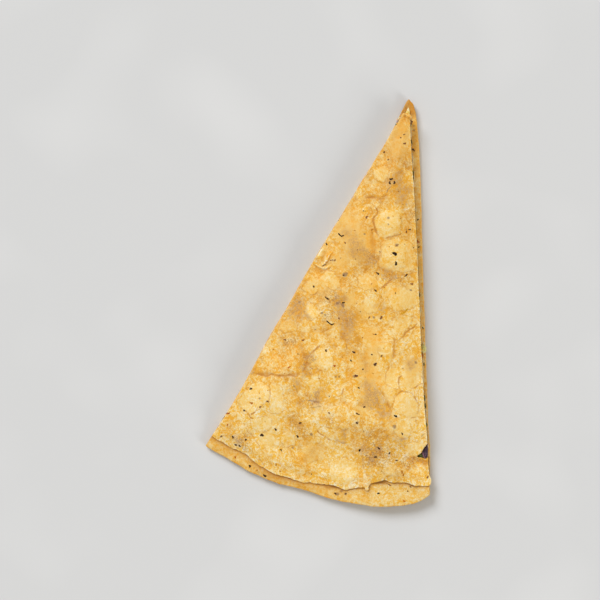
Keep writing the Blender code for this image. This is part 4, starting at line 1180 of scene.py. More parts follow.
class Paint:
    """Builds a material's nodes. Each method returns an output socket."""

    def __init__(self, name, roughness, specular=0.5, subsurface=0.0):
        self.material = bpy.data.materials.new(name)
        self.material.use_nodes = True
        self.nodes = self.material.node_tree.nodes
        self.links = self.material.node_tree.links
        self.shader = self.nodes["Principled BSDF"]
        for name, value in (
            ("Roughness", roughness), ("Specular IOR Level", specular), ("Subsurface Weight", subsurface),
            ("Subsurface Radius", (1.0, 0.55, 0.25)), ("Subsurface Scale", 0.8 * MM),
        ):
            self.shader.inputs[name].default_value = value
        self.where = self.nodes.new("ShaderNodeTexCoord").outputs["Object"]

    def feed(self, socket, value):
        """Links a socket to an output, or sets its constant."""
        if isinstance(value, bpy.types.NodeSocket):
            self.links.new(value, socket)
        else:
            socket.default_value = (*value, 1.0) if socket.type == "RGBA" else value

    def node(self, kind, inputs, **settings):
        """The outputs of a new node with these inputs, by name or number, and settings."""
        node = self.nodes.new("ShaderNode" + kind)
        for name, value in settings.items():
            setattr(node, name, value)
        for name, value in inputs.items():
            self.feed(node.inputs[name], value)
        return node.outputs

    def mark(self, name):
        """A named per-vertex value."""
        return self.node("Attribute", {}, attribute_name=name)["Fac"]

    def speckle(self, wavelength, seed, octaves=4.0, fade=0.85, warp=0.0):
        """Noise about 0 with features from `wavelength` millimetres across down to finer ones."""
        inputs = {"Vector": self.where, "W": seed * 7.3, "Scale": 1.0 / (wavelength * MM),
                  "Detail": octaves - 1.0, "Roughness": fade, "Distortion": warp}
        return self.node("TexNoise", inputs, noise_dimensions="4D", normalize=False)["Fac"]

    def warped(self, size, wavelength, seed):
        """Object coordinates moved about by noise of the given size and wavelength in millimetres."""
        shift = self.speckle(wavelength, seed, 2, 0.7).node.outputs["Color"]
        inputs = {0: shift, 1: (size * MM,) * 3, 2: self.where}
        return self.node("VectorMath", inputs, operation="MULTIPLY_ADD")["Vector"]

    def veins(self, wavelength, where, width):
        """1 on the borders of irregular cells about `wavelength` millimetres across, 0 inside them."""
        inputs = {"Vector": where, "Scale": 1.0 / (wavelength * MM)}
        away = self.node("TexVoronoi", inputs, feature="DISTANCE_TO_EDGE")["Distance"]
        return self.between(away, 0.0, width, 1.0, 0.0)

    def between(self, value, low, high, start=0.0, end=1.0):
        """`value` mapped smoothly from low..high to start..end."""
        inputs = {"Value": value, "From Min": low, "From Max": high, "To Min": start, "To Max": end}
        return self.node("MapRange", inputs, interpolation_type="SMOOTHSTEP")["Result"]

    def calculate(self, operation, first, second):
        return self.node("Math", {0: first, 1: second}, operation=operation)[0]

    def product(self, first, second):
        return self.calculate("MULTIPLY", first, second)

    def mixture(self, *parts):
        """The sum of (weight, output) parts."""
        total = 0.0
        for weight, output in parts:
            total = self.calculate("ADD", total, self.product(weight, output))
        return total

    def ramp(self, value, stops):
        """The colour of `value` on a scale of (value, colour) stops."""
        low, high = stops[0][0], stops[-1][0]
        node = self.nodes.new("ShaderNodeValToRGB")
        scaled = self.calculate("DIVIDE", self.calculate("SUBTRACT", value, low), high - low)
        self.feed(node.inputs["Fac"], scaled)
        scale = node.color_ramp.elements
        while len(scale) < len(stops):
            scale.new(0.5)
        for element, (at, colour) in zip(scale, stops):
            element.position = (at - low) / (high - low)
            element.color = (*colour, 1.0)
        return node.outputs["Color"]

    def blend(self, factor, first, second, kind="MIX"):
        """Two colours mixed by a factor from 0 to 1."""
        inputs = {0: factor, 6: first, 7: second}
        return self.node("Mix", inputs, data_type="RGBA", blend_type=kind, clamp_factor=True)[2]

    def finish(self, colour, height=None, bump_mm=0.1):
        """Connects the colour and the bump, whose height is about -1 to 1."""
        self.feed(self.shader.inputs["Base Color"], colour)
        if height is not None:
            inputs = {"Strength": 1.0, "Distance": bump_mm * MM, "Height": height}
            self.feed(self.shader.inputs["Normal"], self.node("Bump", inputs)["Normal"])
        return self.material


# Baked dough from its darkest to its palest
DOUGH = (
    (-1.4, tone(206, 157, 80)), (-0.6, tone(225, 178, 93)), (0.0, tone(234, 191, 105)),
    (0.6, tone(239, 203, 123)), (1.4, tone(243, 216, 150)), (2.4, tone(248, 232, 188)),
)
# What finer mottling multiplies it by: saturated on one side, creamy on the other
MOTTLING = ((-1.0, (0.975, 0.77, 0.22)), (0.0, (1.0, 1.0, 1.0)), (1.0, (1.01, 1.19, 1.88)))
# The torn or cut edge
CRUMB = ((-0.8, tone(206, 156, 84)), (0.0, tone(232, 198, 138)), (0.8, tone(246, 224, 178)))


def dough_paint(name):
    """Toasted flour tortilla: golden, with pale flakes and amber, brown and grey mottling, and the painted
    shade and highlights that its marks carry.
    """
    paint = Paint(name, 0.62, 0.3, 0.05)
    rough = paint.mark("rough")
    grainy = paint.between(paint.mark("smooth"), 0.0, 1.0, 1.0, 0.32)
    mottle = paint.speckle(3.2, 1, 4, 1.0, 0.7)
    fibres = paint.speckle(1.3, 2, 2, 0.9, 1.2)
    clouds = paint.speckle(2.4, 3, 3, 0.8, 0.8)
    grit = paint.speckle(0.9, 4, 2, 1.0)
    warped = paint.warped(0.9, 2.2, 6)
    veins = paint.mixture((0.6, paint.veins(3.0, warped, 0.16)), (0.5, paint.veins(1.5, warped, 0.2)))
    veins = paint.product(veins, paint.between(clouds, -0.3, 0.3, 0.15, 1.0))
    fibre = paint.product(paint.veins(0.8, paint.warped(0.8, 1.0, 7), 0.16), rough)

    grain = paint.product(paint.mixture((0.24, mottle), (0.24, fibres)), grainy)
    grain = paint.product(grain, paint.between(rough, 0.0, 1.2, 0.9, 2.6))
    patchy = paint.between(paint.mixture((0.9, grit), (0.6, mottle)), -0.6, 0.6, 0.3, 1.0)
    grey = paint.product(paint.mark("grey"), patchy)
    orange = paint.mixture((1.0, paint.mark("orange")), (0.5, clouds))
    mottling = paint.mixture((0.9, mottle), (1.7, grit), (-0.5, veins))
    mottling = paint.product(mottling, paint.between(rough, 0.0, 1.2, 1.05, 1.4))
    mottling = paint.product(mottling, paint.between(grey, 0.0, 0.9, 1.0, 0.45))
    mottling = paint.ramp(paint.product(mottling, grainy), MOTTLING)

    colour = paint.ramp(paint.mixture((0.75, paint.mark("tone")), (1.0, grain)), DOUGH)
    colour = paint.blend(paint.between(orange, 0.25, 1.2, 0.0, 0.6), colour, tone(237, 177, 70))
    colour = paint.blend(paint.between(grey, 0.0, 1.0, 0.0, 0.7), colour, tone(198, 150, 86))
    colour = paint.blend(1.0, colour, mottling, "MULTIPLY")
    for share, over in (
        (paint.product(0.7, fibre), tone(160, 112, 66)),
        # Crease mark: amber lines between flakes and round plates, and painted shade in grooves, valleys and
        # dips
        (paint.between(paint.mark("crease"), 0.1, 1.0, 0.0, 0.85), tone(192, 128, 48)),
        (paint.product(0.85, paint.mark("amber")), tone(216, 150, 46)),
        # Real stains and grey-brown streaks, and on the ledge the painted shadow of the seam
        (paint.between(paint.mark("stain_and_shade"), 0.15, 0.8, 0.0, 0.75), tone(136, 104, 78)),
        # Painted shade: deep in folds, at the tear, under the top tortilla's torn rim and beside its edge; it
        # also darkens the bottom tortilla's bare tip
        (paint.mark("shade"), tone(172, 110, 36)),
    ):
        colour = paint.blend(share, colour, over)
    # Painted shade: the painted_dim mark darkens the bottom tortilla's rim, which curls up towards the key
    # light, and the seam beside the top tortilla's edge
    colour = paint.blend(paint.mark("painted_dim"), colour, (0.7, 0.7, 0.7), "MULTIPLY")
    colour = paint.blend(paint.between(paint.mark("edge"), 0.35, 0.85), colour, paint.ramp(fibres, CRUMB))
    height = paint.mixture((0.5, mottle), (0.6, fibres), (0.3, grit), (-0.5, veins))
    return paint.finish(colour, paint.product(height, grainy), 0.052)


def dough_marks(x, given):
    """All the marks that the dough's paint reads: the given ones, and 0 for the others."""
    names = ("tone", "orange", "grey", "rough", "crease", "amber", "stain_and_shade", "shade", "painted_dim", "edge", "smooth")
    marks = {name: np.zeros(np.shape(x)) for name in names}
    marks.update(given)
    return marks


def top_marks(vertices, loop, edge, crease, flakes, plated):
    """Per-vertex values that drive the top tortilla's colours, with painted highlights at its cut, rim and
    ridges and painted shade at the tear and in folds.
    """
    x, y = vertices[:, 0], vertices[:, 1]
    fx, fy = wobbled(x, y, *PATCH_FRAY)
    to_edge = away_from(vertices[:, :2], loop)
    # Painted highlight along the right-hand cut's edge, which is also paler crumb
    cut_highlight = fading(to_edge, 0.45) * (1.0 - torn(x, y)) * (from_right_cut(x, y) < 9.0)
    # The torn rim is paler: partly its own cream colour, partly painted highlight where its face slopes away
    # from the key light
    at_rim = (0.6 * fading(to_edge, 0.6) + 0.4 * fading(to_edge, 3.0)) * torn(x, y)
    # Painted shade on the tear's lower lip, below the upper one
    shade_under_lip = spots(*wobbled(x, y, LIP_FRAY), SHADE_UNDER_LIP)
    pale, brown = np.clip(spots(fx, fy, PALE), 0.0, 1.5), np.clip(spots(fx, fy, BROWN), 0.0, 1.1)
    grey = spots(fx, fy, GREY)
    # Painted light: darker towards the tip and paler towards the rim, against how the light falls, and paler
    # near the right-hand cut, where the face slopes from the light; with broad random tone
    painted_light_by_right_cut = fading(from_right_cut(x, y), 6.0) * step((12.0 - y) / 10.0) * step((y + 62.0) / 8.0)
    plain = 0.12 * fractal(x, y, 11.0, 4, 0.8, 95) - 0.009 * y + 0.3 * painted_light_by_right_cut
    orange = 0.8 * spots(fx, fy, ORANGE) + 0.12 * fractal(x, y, 7.0, 3, 0.8, 99) - 0.05
    # Painted highlights on the fold ridges; the cream lines are pale streaks, and painted highlights on the
    # flap's ridges and plate edges
    folds = sum(line_mark(x, y, *fold[1:]) for fold in FOLDS)
    cream = sum(line_mark(x, y, *line) for line in CREAM_LINES)
    amber, streaks = line_marks(x, y, AMBER_LINES), line_marks(x, y, STREAKS)
    return dough_marks(x, {
        "tone": 0.6 * pale - 0.55 * brown - 0.12 + plain + flakes + 1.3 * cut_highlight + at_rim - 0.9 * shade_under_lip
        + 1.1 * folds + 1.8 * cream,
        "grey": np.clip(grey, 0.0, 1.1),
        "rough": np.clip(0.6 * grey + 0.4 * brown + spots(fx, fy, ROUGH), 0.0, 1.2),
        "orange": np.clip(orange, 0.0, 1.1),
        "amber": np.clip(amber, 0.0, 1.0),
        "stain_and_shade": np.clip(spots(*wobbled(x, y, STAIN_FRAY), GREY_STAINS) + streaks, 0.0, 1.0),
        "crease": crease,
        # Painted shade, darkest in folds and at the tear
        "shade": np.clip(0.65 * spots(x, y, DARKEST_SHADE), 0.0, 0.65),
        "edge": edge,
        "smooth": np.maximum(smoothness(x, y), 0.65 * plated),
    })


def top_face(loop):
    """The top tortilla's upper face, which its torn rim presses down."""

    def over(x, y):
        relief, _, _, _ = top_relief(x, y)
        near = away_from(np.column_stack([x, y]), loop)
        at_rim = step((RIM_PRESSED_WITHIN - from_rim(x, y)) / RIM_PRESSED_FADE)
        pressed = at_rim * sum(depth * fading(near, reach) for depth, reach in RIM_PRESSED)
        return top_over(x, y) + relief - pressed

    return over


def top_tortilla():
    """The upper tortilla, with its creases, blisters and the pinched flap at the left-hand cut."""
    sides = (TOP_TIP, TOP_UPPER_CUT, TOP_TEAR, TOP_LOWER_CUT, TOP_RIM, TOP_LEFT_CUT)
    loop = frayed(sides, TOP_RAGGED, torn, (0.2, 0.1))
    inner_over = detailed_lattice(loop, FINE)
    inner_under = graded_lattice(loop, *TOP_UNDERSIDE)
    rough = TOP_CRUMBS + TORN_CRUMBS * torn(loop[:, 0], loop[:, 1])
    over = top_face(loop)
    vertices, triangles, edge = slab(loop, top_under, over, inner_under, inner_over, rough, DOUGH_ROUND)
    _, crease, flakes, plated = top_relief(vertices[:, 0], vertices[:, 1])
    on_top = np.zeros(len(vertices))
    on_top[-len(inner_over):] = 1.0
    marks = top_marks(vertices, loop, edge, crease * on_top, flakes, plated)
    piece = mesh_object("top_crust", vertices, triangles, marks, dough_paint("toasted_top"))
    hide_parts("top_tortilla")
    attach(piece, "root")
    return loop


def bottom_flakes(x, y, seed):
    """The mosaic of another stretch of dough than the top tortilla's."""
    return mosaic(x + 9.0 * seed, y)


def bottom_relief(x, y, seed):
    """What stands up from one of the bottom tortilla's two faces."""
    flakes, lines = bottom_flakes(x, y, seed)
    grain = sum(swell(x, y, (*wave, seed + k)) for k, wave in enumerate(BOTTOM_GRAIN))
    return grain + 0.08 * flakes - 0.08 * lines


def bottom_face(x, y):
    """The bottom tortilla's upper face, rounded at the rim."""
    depth, reach = BOTTOM_RIM_ROUND
    rounded = depth * step((reach - from_rim(x, y)) / reach) ** 2
    return bottom_over(x, y) + bottom_relief(x, y, UPPER_SEED) - rounded


def bottom_marks(vertices, loop, top_loop, edge):
    """Per-vertex values that drive the bottom tortilla's colours, with painted shade where the top one lies
    on it.
    """
    x, y = vertices[:, 0], vertices[:, 1]
    above = vertices[:, 2] > bottom_under(x, y) + 0.5 * BOTTOM_THICKNESS
    to_top, to_edge = (away_from(vertices[:, :2], edge_loop) for edge_loop in (top_loop, loop))
    # Painted shade on the bottom tortilla beside the top tortilla's edge, where that edge casts its shadow
    shade_by_top = (0.6 * fading(to_top, 0.8) + 0.4 * fading(to_top, 2.4)) * above
    outermost = fading(to_edge, 0.55)
    ledge = step((LEDGE_WIDTH - from_right_cut(x, y)) / 2.0) * step((from_rim(x, y) - 8.0) / 6.0)
    rim = step((RIM_BAND - from_rim(x, y)) / 3.0) * (1.0 - ledge)
    at_tip, right = step((y - TIP_STARTS) / 4.0), step(x / 30.0)
    upper = ledge * step((y - 50.0) / 14.0)
    # Painted shadow in the seam: the ledge right beside the top tortilla's edge
    seam = ledge * fading(to_top, 0.42)
    toasted, charred = (~above * blotches(x, y, *kind) for kind in (TOASTED, CHARRED))
    flakes, lines = bottom_flakes(x, y, UPPER_SEED)
    orange = 0.45 * noise(x, y, 8.0, 99) + 0.9 * outermost * above + 0.3 * upper + 0.5 * ledge
    # Painted shadow under the torn rim and beside the top tortilla's edge; the bare tip is darkened as well
    shade = 0.8 * line_marks(x, y, DEEP_SHADE) * above
    shade = shade + shade_by_top * ((0.75 - 0.2 * right) * rim + 0.08 * ledge) + 0.4 * at_tip
    # Stains at the rim, and painted shadow in the seam beside the top tortilla's edge
    stain_and_shade = np.clip(spots(*wobbled(x, y, STAIN_FRAY), RIM_STAINS) + seam, 0.0, 1.0)
    return dough_marks(x, {
        # The ledge is painted lighter: painted light on a ledge that lies in the top tortilla's shadow
        "tone": 0.35 * fractal(x, y, 7.0, 4, 0.9, 97) + 0.5 * flakes * (1.0 - 0.6 * rim)
        + rim * (0.9 * right - 0.1) + 1.1 * ledge * (1.0 - at_tip) - 0.9 * upper - at_tip
        - 0.3 * outermost * rim - 1.1 * toasted - 0.8 * charred,
        "grey": np.clip(0.8 * noise(x, y, 7.0, 98) * ~above, 0.0, 1.0),
        "orange": np.clip(orange, 0.0, 1.2),
        "shade": np.clip(shade, 0.0, 0.85),
        # Painted shade on the curled rim and in the seam
        "painted_dim": (rim * (0.12 + 0.30 * right) + seam) * above,
        "stain_and_shade": stain_and_shade * above + 0.6 * charred,
        "rough": 0.8 * toasted,
        "smooth": above * (0.55 * rim * (1.0 - 0.3 * right) + 0.65 * ledge),
        "crease": 0.4 * lines * (1.0 - 0.6 * rim),
        "edge": 0.75 * edge * (1.0 - 0.8 * rim) * (1.0 - 0.8 * at_tip),
    })


def bottom_tortilla(top_loop):
    """The lower tortilla, which shows as a ledge, at the rim and at the tip."""
    sides = (BOTTOM_TIP, BOTTOM_RIGHT_CUT, BOTTOM_RIM, BOTTOM_LEFT_CUT)
    loop = frayed(sides, BOTTOM_RAGGED, lambda x, y: step((6.0 - from_rim(x, y)) / 3.0), (0.5, 0.4))

    def under(x, y):
        return bottom_under(x, y) + np.abs(bottom_relief(x, y, LOWER_SEED))

    inner = graded_lattice(loop, MIDDLING, SHOWN_BAND)
    inner_under = lattice(loop, BOTTOM_UNDERSIDE)
    vertices, triangles, edge = slab(loop, under, bottom_face, inner_under, inner, BOTTOM_CRUMBS, DOUGH_ROUND)
    marks = bottom_marks(vertices, loop, top_loop, edge)
    piece = mesh_object("bottom_crust", vertices, triangles, marks, dough_paint("toasted_bottom"))
    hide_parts("bottom_tortilla")
    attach(piece, "root")


def filling_paint(name, light, dark, roughness, subsurface, wavelength):
    """Moist filling whose colour runs from `light` to `dark` with its shade and grain."""
    paint = Paint(name, roughness, 0.5 if roughness < 0.6 else 0.15, subsurface)
    grain = paint.speckle(wavelength, 11, 4, 0.8, 0.4)
    fine = paint.speckle(wavelength * 0.3, 12, 3, 0.8)
    shade = paint.mixture((1.0, paint.mark("shade")), (0.5, grain), (0.3, fine))
    colour = paint.blend(paint.between(shade, 0.0, 1.0), light, dark)
    return paint.finish(colour, paint.mixture((0.7, grain), (0.3, fine)), 0.1)


# The filling's kinds of bits: light and dark colour, roughness, subsurface, grain
KINDS = {
    "chicken": (tone(236, 212, 178), tone(196, 152, 106), 0.48, 0.2, 1.0),
    "cheese": (tone(238, 226, 188), tone(220, 186, 120), 0.36, 0.3, 1.5),
    "onion": (tone(206, 186, 190), tone(92, 40, 74), 0.3, 0.3, 0.8),
    "pepper": (tone(150, 64, 34), tone(84, 92, 36), 0.3, 0.1, 0.8),
    "herb": (tone(98, 104, 52), tone(40, 48, 24), 0.55, 0.0, 0.4),
    "spice": (tone(190, 112, 36), tone(112, 58, 20), 0.55, 0.0, 0.4),
}


def filling_core():
    """The melted cheese that holds the filling together, lumpy where the knife cut it."""
    sides = (FILLING_TIP, FILLING_RIGHT_CUT, FILLING_RIM, FILLING_LEFT_CUT)
    loop = outline(sides, EDGE_STEP)
    for wander in FILLING_RAGGED:
        loop = ragged(loop, wander)

    def over(x, y):
        return filling_over(x, y) + sum(swell(x, y, wave) for wave in CHEESE_GRAIN) - CHEESE_LOWERED

    inner = graded_lattice(loop, *FILLING_TOP)
    vertices, triangles, _ = slab(loop, filling_under, over, lattice(loop, COARSE), inner, CHEESE_CRUMBS)
    marks = {"shade": 0.5 + 0.5 * noise_3d(vertices, 3.0, 48)}
    # Tan, as moist melted cheese is, and darker still as painted shade of the seam it shows in
    paint = filling_paint("cheese_melt", tone(226, 196, 142), tone(184, 136, 76), 0.42, 0.2, 1.6)
    piece = mesh_object("melted_cheese", vertices, triangles, marks, paint)
    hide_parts("filling")
    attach(piece, "root")


def strand(template, size, draws):
    """A piece of chicken: a blunt lump with fibres along it."""
    points, faces = template
    points = points.copy()
    around = np.arctan2(points[:, 2], points[:, 1])
    phase = draws.uniform(0, 6.28, 3)
    fibres = 1.0 + 0.07 * np.sin(7 * around + phase[0])
    fibres = fibres + 0.05 * np.sin(11 * around + phase[1] + 3 * points[:, 0])
    blunt = 1.0 - (2 * np.abs(points[:, 0])) ** 4 * 0.35
    points[:, 1:] *= (fibres * blunt)[:, None]
    points[:, 0] = np.sign(points[:, 0]) * np.abs(2 * points[:, 0]) ** 0.75 / 2
    points *= size
    points[:, 1] += 0.12 * size[0] * draws.uniform(-1, 1) * (points[:, 0] / size[0] * 2) ** 2
    return points, faces


def crumbly(template, size, roughness, seed):
    """A rough lump: a ball dented by noise."""
    points, faces = template
    dents = roughness * noise_3d(points * 4.0 + seed * 3.1, 1.0, seed % 50)
    dents += 0.5 * roughness * noise_3d(points * 4.0 + seed * 1.7, 0.45, seed % 50 + 5)
    return points * (1.0 + dents[:, None]) * size, faces


# What the knife laid bare: kind, spacing along a cut, mesh detail, ranges of length, width and height,
# and how far its middle is from the filling's face
CUT_PIECES = (
    ("chicken", 2.4, 3, ((2.6, 6.0), (1.2, 2.0), (1.1, 1.9)), (-0.75, -0.35)),
    ("cheese", 2.6, 2, ((1.4, 3.2), (0.9, 1.5), (0.9, 1.6)), (-0.6, -0.25)),
    ("onion", 6.5, 2, ((1.2, 2.4), (0.6, 1.0), (0.4, 0.8)), (-0.35, 0.0)),
    ("pepper", 7.0, 2, ((0.9, 1.7), (0.6, 1.0), (0.5, 0.9)), (-0.35, 0.0)),
    ("herb", 1.6, 1, ((0.5, 1.2), (0.3, 0.6), (0.12, 0.25)), (0.0, 0.3)),
    ("spice", 1.6, 1, ((0.3, 0.7), (0.25, 0.5), (0.2, 0.35)), (0.0, 0.3)),
)
RIGHT_CUT_DEEPER = 0.1


def cut_bits(side, kind, every, detail, ranges, depths, draws):
    """Solids of one kind of bit along a cut of the filling."""
    template = ball(detail)
    middles = curve(side, every)[1:]
    for (x, y), ahead in zip(middles, np.gradient(middles, axis=0)):
        dx, dy = ahead / math.hypot(*ahead)
        slide, depth = draws.uniform(-0.5, 0.5) * every, draws.uniform(*depths)
        depth -= RIGHT_CUT_DEEPER * (side is FILLING_RIGHT_CUT)
        x, y = x + dx * slide - dy * depth, y + dy * slide + dx * depth
        low, high = float(filling_under(x, y)), float(filling_over(x, y))
        size = np.array([draws.uniform(*span) for span in ranges])
        size[2] = min(size[2], (high - low) * 0.8)
        z = low + size[2] / 2 + (high - low - size[2]) * draws.uniform(0.02, 0.98)
        if kind == "chicken":
            points, faces = strand(template, size, draws)
        else:
            points, faces = crumbly(template, size, 0.22, int(draws.integers(1000)))
        roll = draws.uniform(-1.6, 1.6) if kind == "herb" else draws.uniform(-0.7, 0.7)
        heading = math.atan2(dy, dx) + draws.uniform(-0.3, 0.3)
        points = turned(points, heading, draws.uniform(-0.25, 0.25), roll)
        yield points + (x, y, z), faces, draws.uniform(0.0, 1.0)


def seam_bits(kind, pixels, width, draws):
    """Solids of the bits along a line in the seam, on the bottom tortilla."""
    knots = placed(pixels)
    for (ax, ay), (bx, by) in zip(knots, knots[1:]):
        x, y = (ax + bx) / 2, (ay + by) / 2
        size = (math.hypot(bx - ax, by - ay) + 0.5 * width, width, SEAM_BIT_HEIGHT)
        points, faces = crumbly(ball(3), size, 0.2, int(draws.integers(1000)))
        z = float(bottom_over(x, y)) + SEAM_BIT_RISE
        points = turned(points, math.atan2(by - ay, bx - ax)) + (x, y, z)
        yield points, faces, 0.5 if kind == "cheese" else draws.uniform(0, 1)


def tip_bit(px, py, size, draws):
    """The solid of a lump beyond the cut near the tip."""
    points, faces = crumbly(ball(3), size, 0.25, int(draws.integers(1000)))
    x, y = place(px, py)
    z = float(bottom_over(x, y)) + TIP_BIT_RISE
    return turned(points, draws.uniform(0, 3)) + (x, y, z), faces, draws.uniform(0, 0.6)


def cut_filling():
    """Chicken, cheese, onion, pepper and herbs that show at the cuts, and the bits in the seam."""
    draws = np.random.default_rng(5)
    solids = {kind: [] for kind in KINDS}
    for side in (FILLING_RIGHT_CUT, FILLING_LEFT_CUT):
        for kind, *settings in CUT_PIECES:
            solids[kind] += cut_bits(side, kind, *settings, draws)
    for kind, pixels, width in SEAM_BITS:
        solids[kind] += seam_bits(kind, pixels, width, draws)
    for kind, px, py, size in TIP_BITS:
        solids[kind].append(tip_bit(px, py, size, draws))
    for kind, items in solids.items():
        piece = joined("cut_" + kind, items, filling_paint(kind + "_bits", *KINDS[kind]))
        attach(piece, "root")


def node_middle(node):
    """The middle and full sizes of a CAD node, in millimetres."""
    low, high = (np.array(corner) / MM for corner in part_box(node))
    return (low + high) / 2, high - low


def slice_piece(node, pixels, dome, shade, material):
    """A flat cut piece with its outline through photo pixels and a domed top, in a node's height."""
    middle, size = node_middle(node)
    corners = placed(pixels)
    loop = curve([*corners, corners[0]], SLICE_EDGE_STEP)
    for _ in range(SLICE_SMOOTHED):
        loop = (np.roll(loop, 1, axis=0) + 2 * loop + np.roll(loop, -1, axis=0)) / 4
    area = np.sum(loop[:, 0] * np.roll(loop[:, 1], -1) - np.roll(loop[:, 0], -1) * loop[:, 1])
    loop = loop if area > 0 else loop[::-1]
    low, high = middle[2] - size[2] / 2, middle[2] + size[2] / 2
    reach = 0.5 * min(np.ptp(loop[:, 0]), np.ptp(loop[:, 1]))

    def over(x, y):
        inward = step(away_from(np.column_stack([x, y]), loop) / reach)
        return high - dome + dome * inward + swell(x, y, SLICE_SWELL)

    def under(x, y):
        return np.full(np.shape(x), low)

    inner = lattice(loop, SLICE_STEP)
    vertices, triangles, edge = slab(loop, under, over, inner, inner, SLICE_CRUMBS, SLICE_ROUND)
    marks = {"shade": shade(vertices) + 0.25 * edge}
    return mesh_object(node + "_piece", vertices, triangles, marks, material)


def crumb_piece(node, size_share, shift, material):
    """A rough lump in the place of a node."""
    middle, size = node_middle(node)
    points, faces = crumbly(ball(4), size * size_share, 0.26, 9)
    points = points + middle + shift
    shade = 0.5 + 0.5 * noise_3d(points, 1.6, 50)
    return mesh_object(node + "_piece", points, faces, {"shade": shade}, material)


def onion_shade(points):
    """Lilac along the lower left edge, dark purple elsewhere."""
    (ax, ay), (bx, by) = placed(ONION_SKIN)
    length = math.hypot(bx - ax, by - ay)
    away = ((points[:, 0] - ax) * (by - ay) - (points[:, 1] - ay) * (bx - ax)) / length
    return 1.0 - 0.9 * fading(away, 0.55)


def pepper_shade(points):
    return 0.5 + 0.5 * noise_3d(points, 1.4, 53)


def sliver_highlight(points):
    """Palest at its end, near the tip, as a painted highlight."""
    return np.clip((points[:, 1] - 81.6) / -1.6 + 0.3, 0.0, 1.0)


def small_pieces():
    """The pieces that show by themselves: at the tear, on the ledge and at the tip."""
    skin = filling_paint("onion_skin", tone(160, 118, 142), tone(46, 16, 48), 0.28, 0.1, 0.8)
    onion = slice_piece("red_onion", ONION_OUTLINE, 0.5, onion_shade, skin)
    skin = filling_paint("pepper_skin", tone(104, 124, 52), tone(30, 46, 18), 0.28, 0.1, 0.8)
    pepper = slice_piece("green_pepper", PEPPER_OUTLINE, 0.4, pepper_shade, skin)
    cheese = filling_paint("sliver_cheese", tone(248, 238, 196), tone(234, 204, 104), 0.4, 0.2, 0.9)
    sliver = slice_piece("cheese_sliver", SLIVER_OUTLINE, 0.5, sliver_highlight, cheese)
    cheese = filling_paint("crumb_cheese", tone(238, 228, 176), tone(216, 206, 116), 0.42, 0.2, 0.9)
    crumb = crumb_piece("cheese_crumb", (1.45, 1.2, 1.0), (-0.6, 0.2, 0.0), cheese)
    for piece, node, slot in ((onion, "red_onion", "onion"), (pepper, "green_pepper", "pepper"),
                              (sliver, "cheese_sliver", "cheese"), (crumb, "cheese_crumb", "cheese")):
        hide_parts(node)
        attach(piece, "root")


def fleck(x, y, length, width, heading, turn_on):
    """The plan of a thin irregular flake: its middle, an inner ring and an outer ring."""
    turn = np.arange(FLECK_POINTS) / FLECK_POINTS * 2 * math.pi
    reach = 1.0 + 0.3 * np.sin(turn * 2 + turn_on) + 0.2 * np.sin(turn * 3 + turn_on * 1.7)
    plan = np.column_stack([np.cos(turn) * length / 2, np.sin(turn) * width / 2]) * reach[:, None]
    c, s = math.cos(heading), math.sin(heading)
    plan = plan @ np.array([[c, s], [-s, c]])
    return np.concatenate([[[0.0, 0.0]], plan * FLECK_RING, plan]) + (x, y)


def laid(plans, surface, draws):
    """Solids of flecks that lie on a surface."""
    flat = np.concatenate(plans)
    ground = surface(flat[:, 0], flat[:, 1]).reshape(len(plans), -1)
    middle, inner_ring, outer_ring, underside = FLECK_RISES
    rise = np.repeat([middle, inner_ring, outer_ring], (1, FLECK_POINTS, FLECK_POINTS))
    faces = []
    for k in range(FLECK_POINTS):
        n = (k + 1) % FLECK_POINTS
        inner, outer = 1 + k, 1 + FLECK_POINTS + k
        inner_next, outer_next = 1 + n, 1 + FLECK_POINTS + n
        faces += [(0, inner, inner_next), (inner, outer, outer_next), (inner, outer_next, inner_next)]
        faces.append((outer, 1 + 2 * FLECK_POINTS, outer_next))
    faces = np.array(faces)
    solids = []
    for plan, heights in zip(plans, ground):
        above = np.column_stack([plan, heights + rise])
        below = above[0] + (0.0, 0.0, underside)
        solids.append((np.concatenate([above, [below]]), faces, draws.uniform(0, 1)))
    return solids


def stroke(pixels, width, draws):
    """Flecks that overlap in a row along a line through photo pixels."""
    points = placed(pixels)
    made = []
    for (ax, ay), (bx, by) in zip(points, points[1:]):
        length = math.hypot(bx - ax, by - ay) + 0.6
        heading = math.atan2(by - ay, bx - ax)
        made.append(fleck((ax + bx) / 2, (ay + by) / 2, length, width, heading, draws.uniform(0, 9)))
    return made


def strokes(lines, width, draws):
    """The flecks of several strokes."""
    return [plan for pixels in lines for plan in stroke(pixels, width, draws)]


def round_flecks(places, width_share, draws):
    """Flecks at (photo x, y, length) places, each turned its own way."""
    made = []
    for px, py, length in places:
        length *= FLECK_SHARE
        width = length * draws.uniform(*width_share)
        made.append(fleck(*place(px, py), length, width, draws.uniform(0, math.pi), draws.uniform(0, 9)))
    return made


def scattered(count, draws):
    """Places for more small flecks, over the whole face."""
    made = []
    while len(made) < count:
        px, py = draws.uniform(*SCATTER_ACROSS), draws.uniform(*SCATTER_DOWN)
        x, y = place(px, py)
        if from_cuts(x, y) > SCATTER_FROM_CUTS and from_rim(x, y) > SCATTER_FROM_RIM:
            made.append((px, py, draws.uniform(*SCATTER_LENGTHS)))
    return made


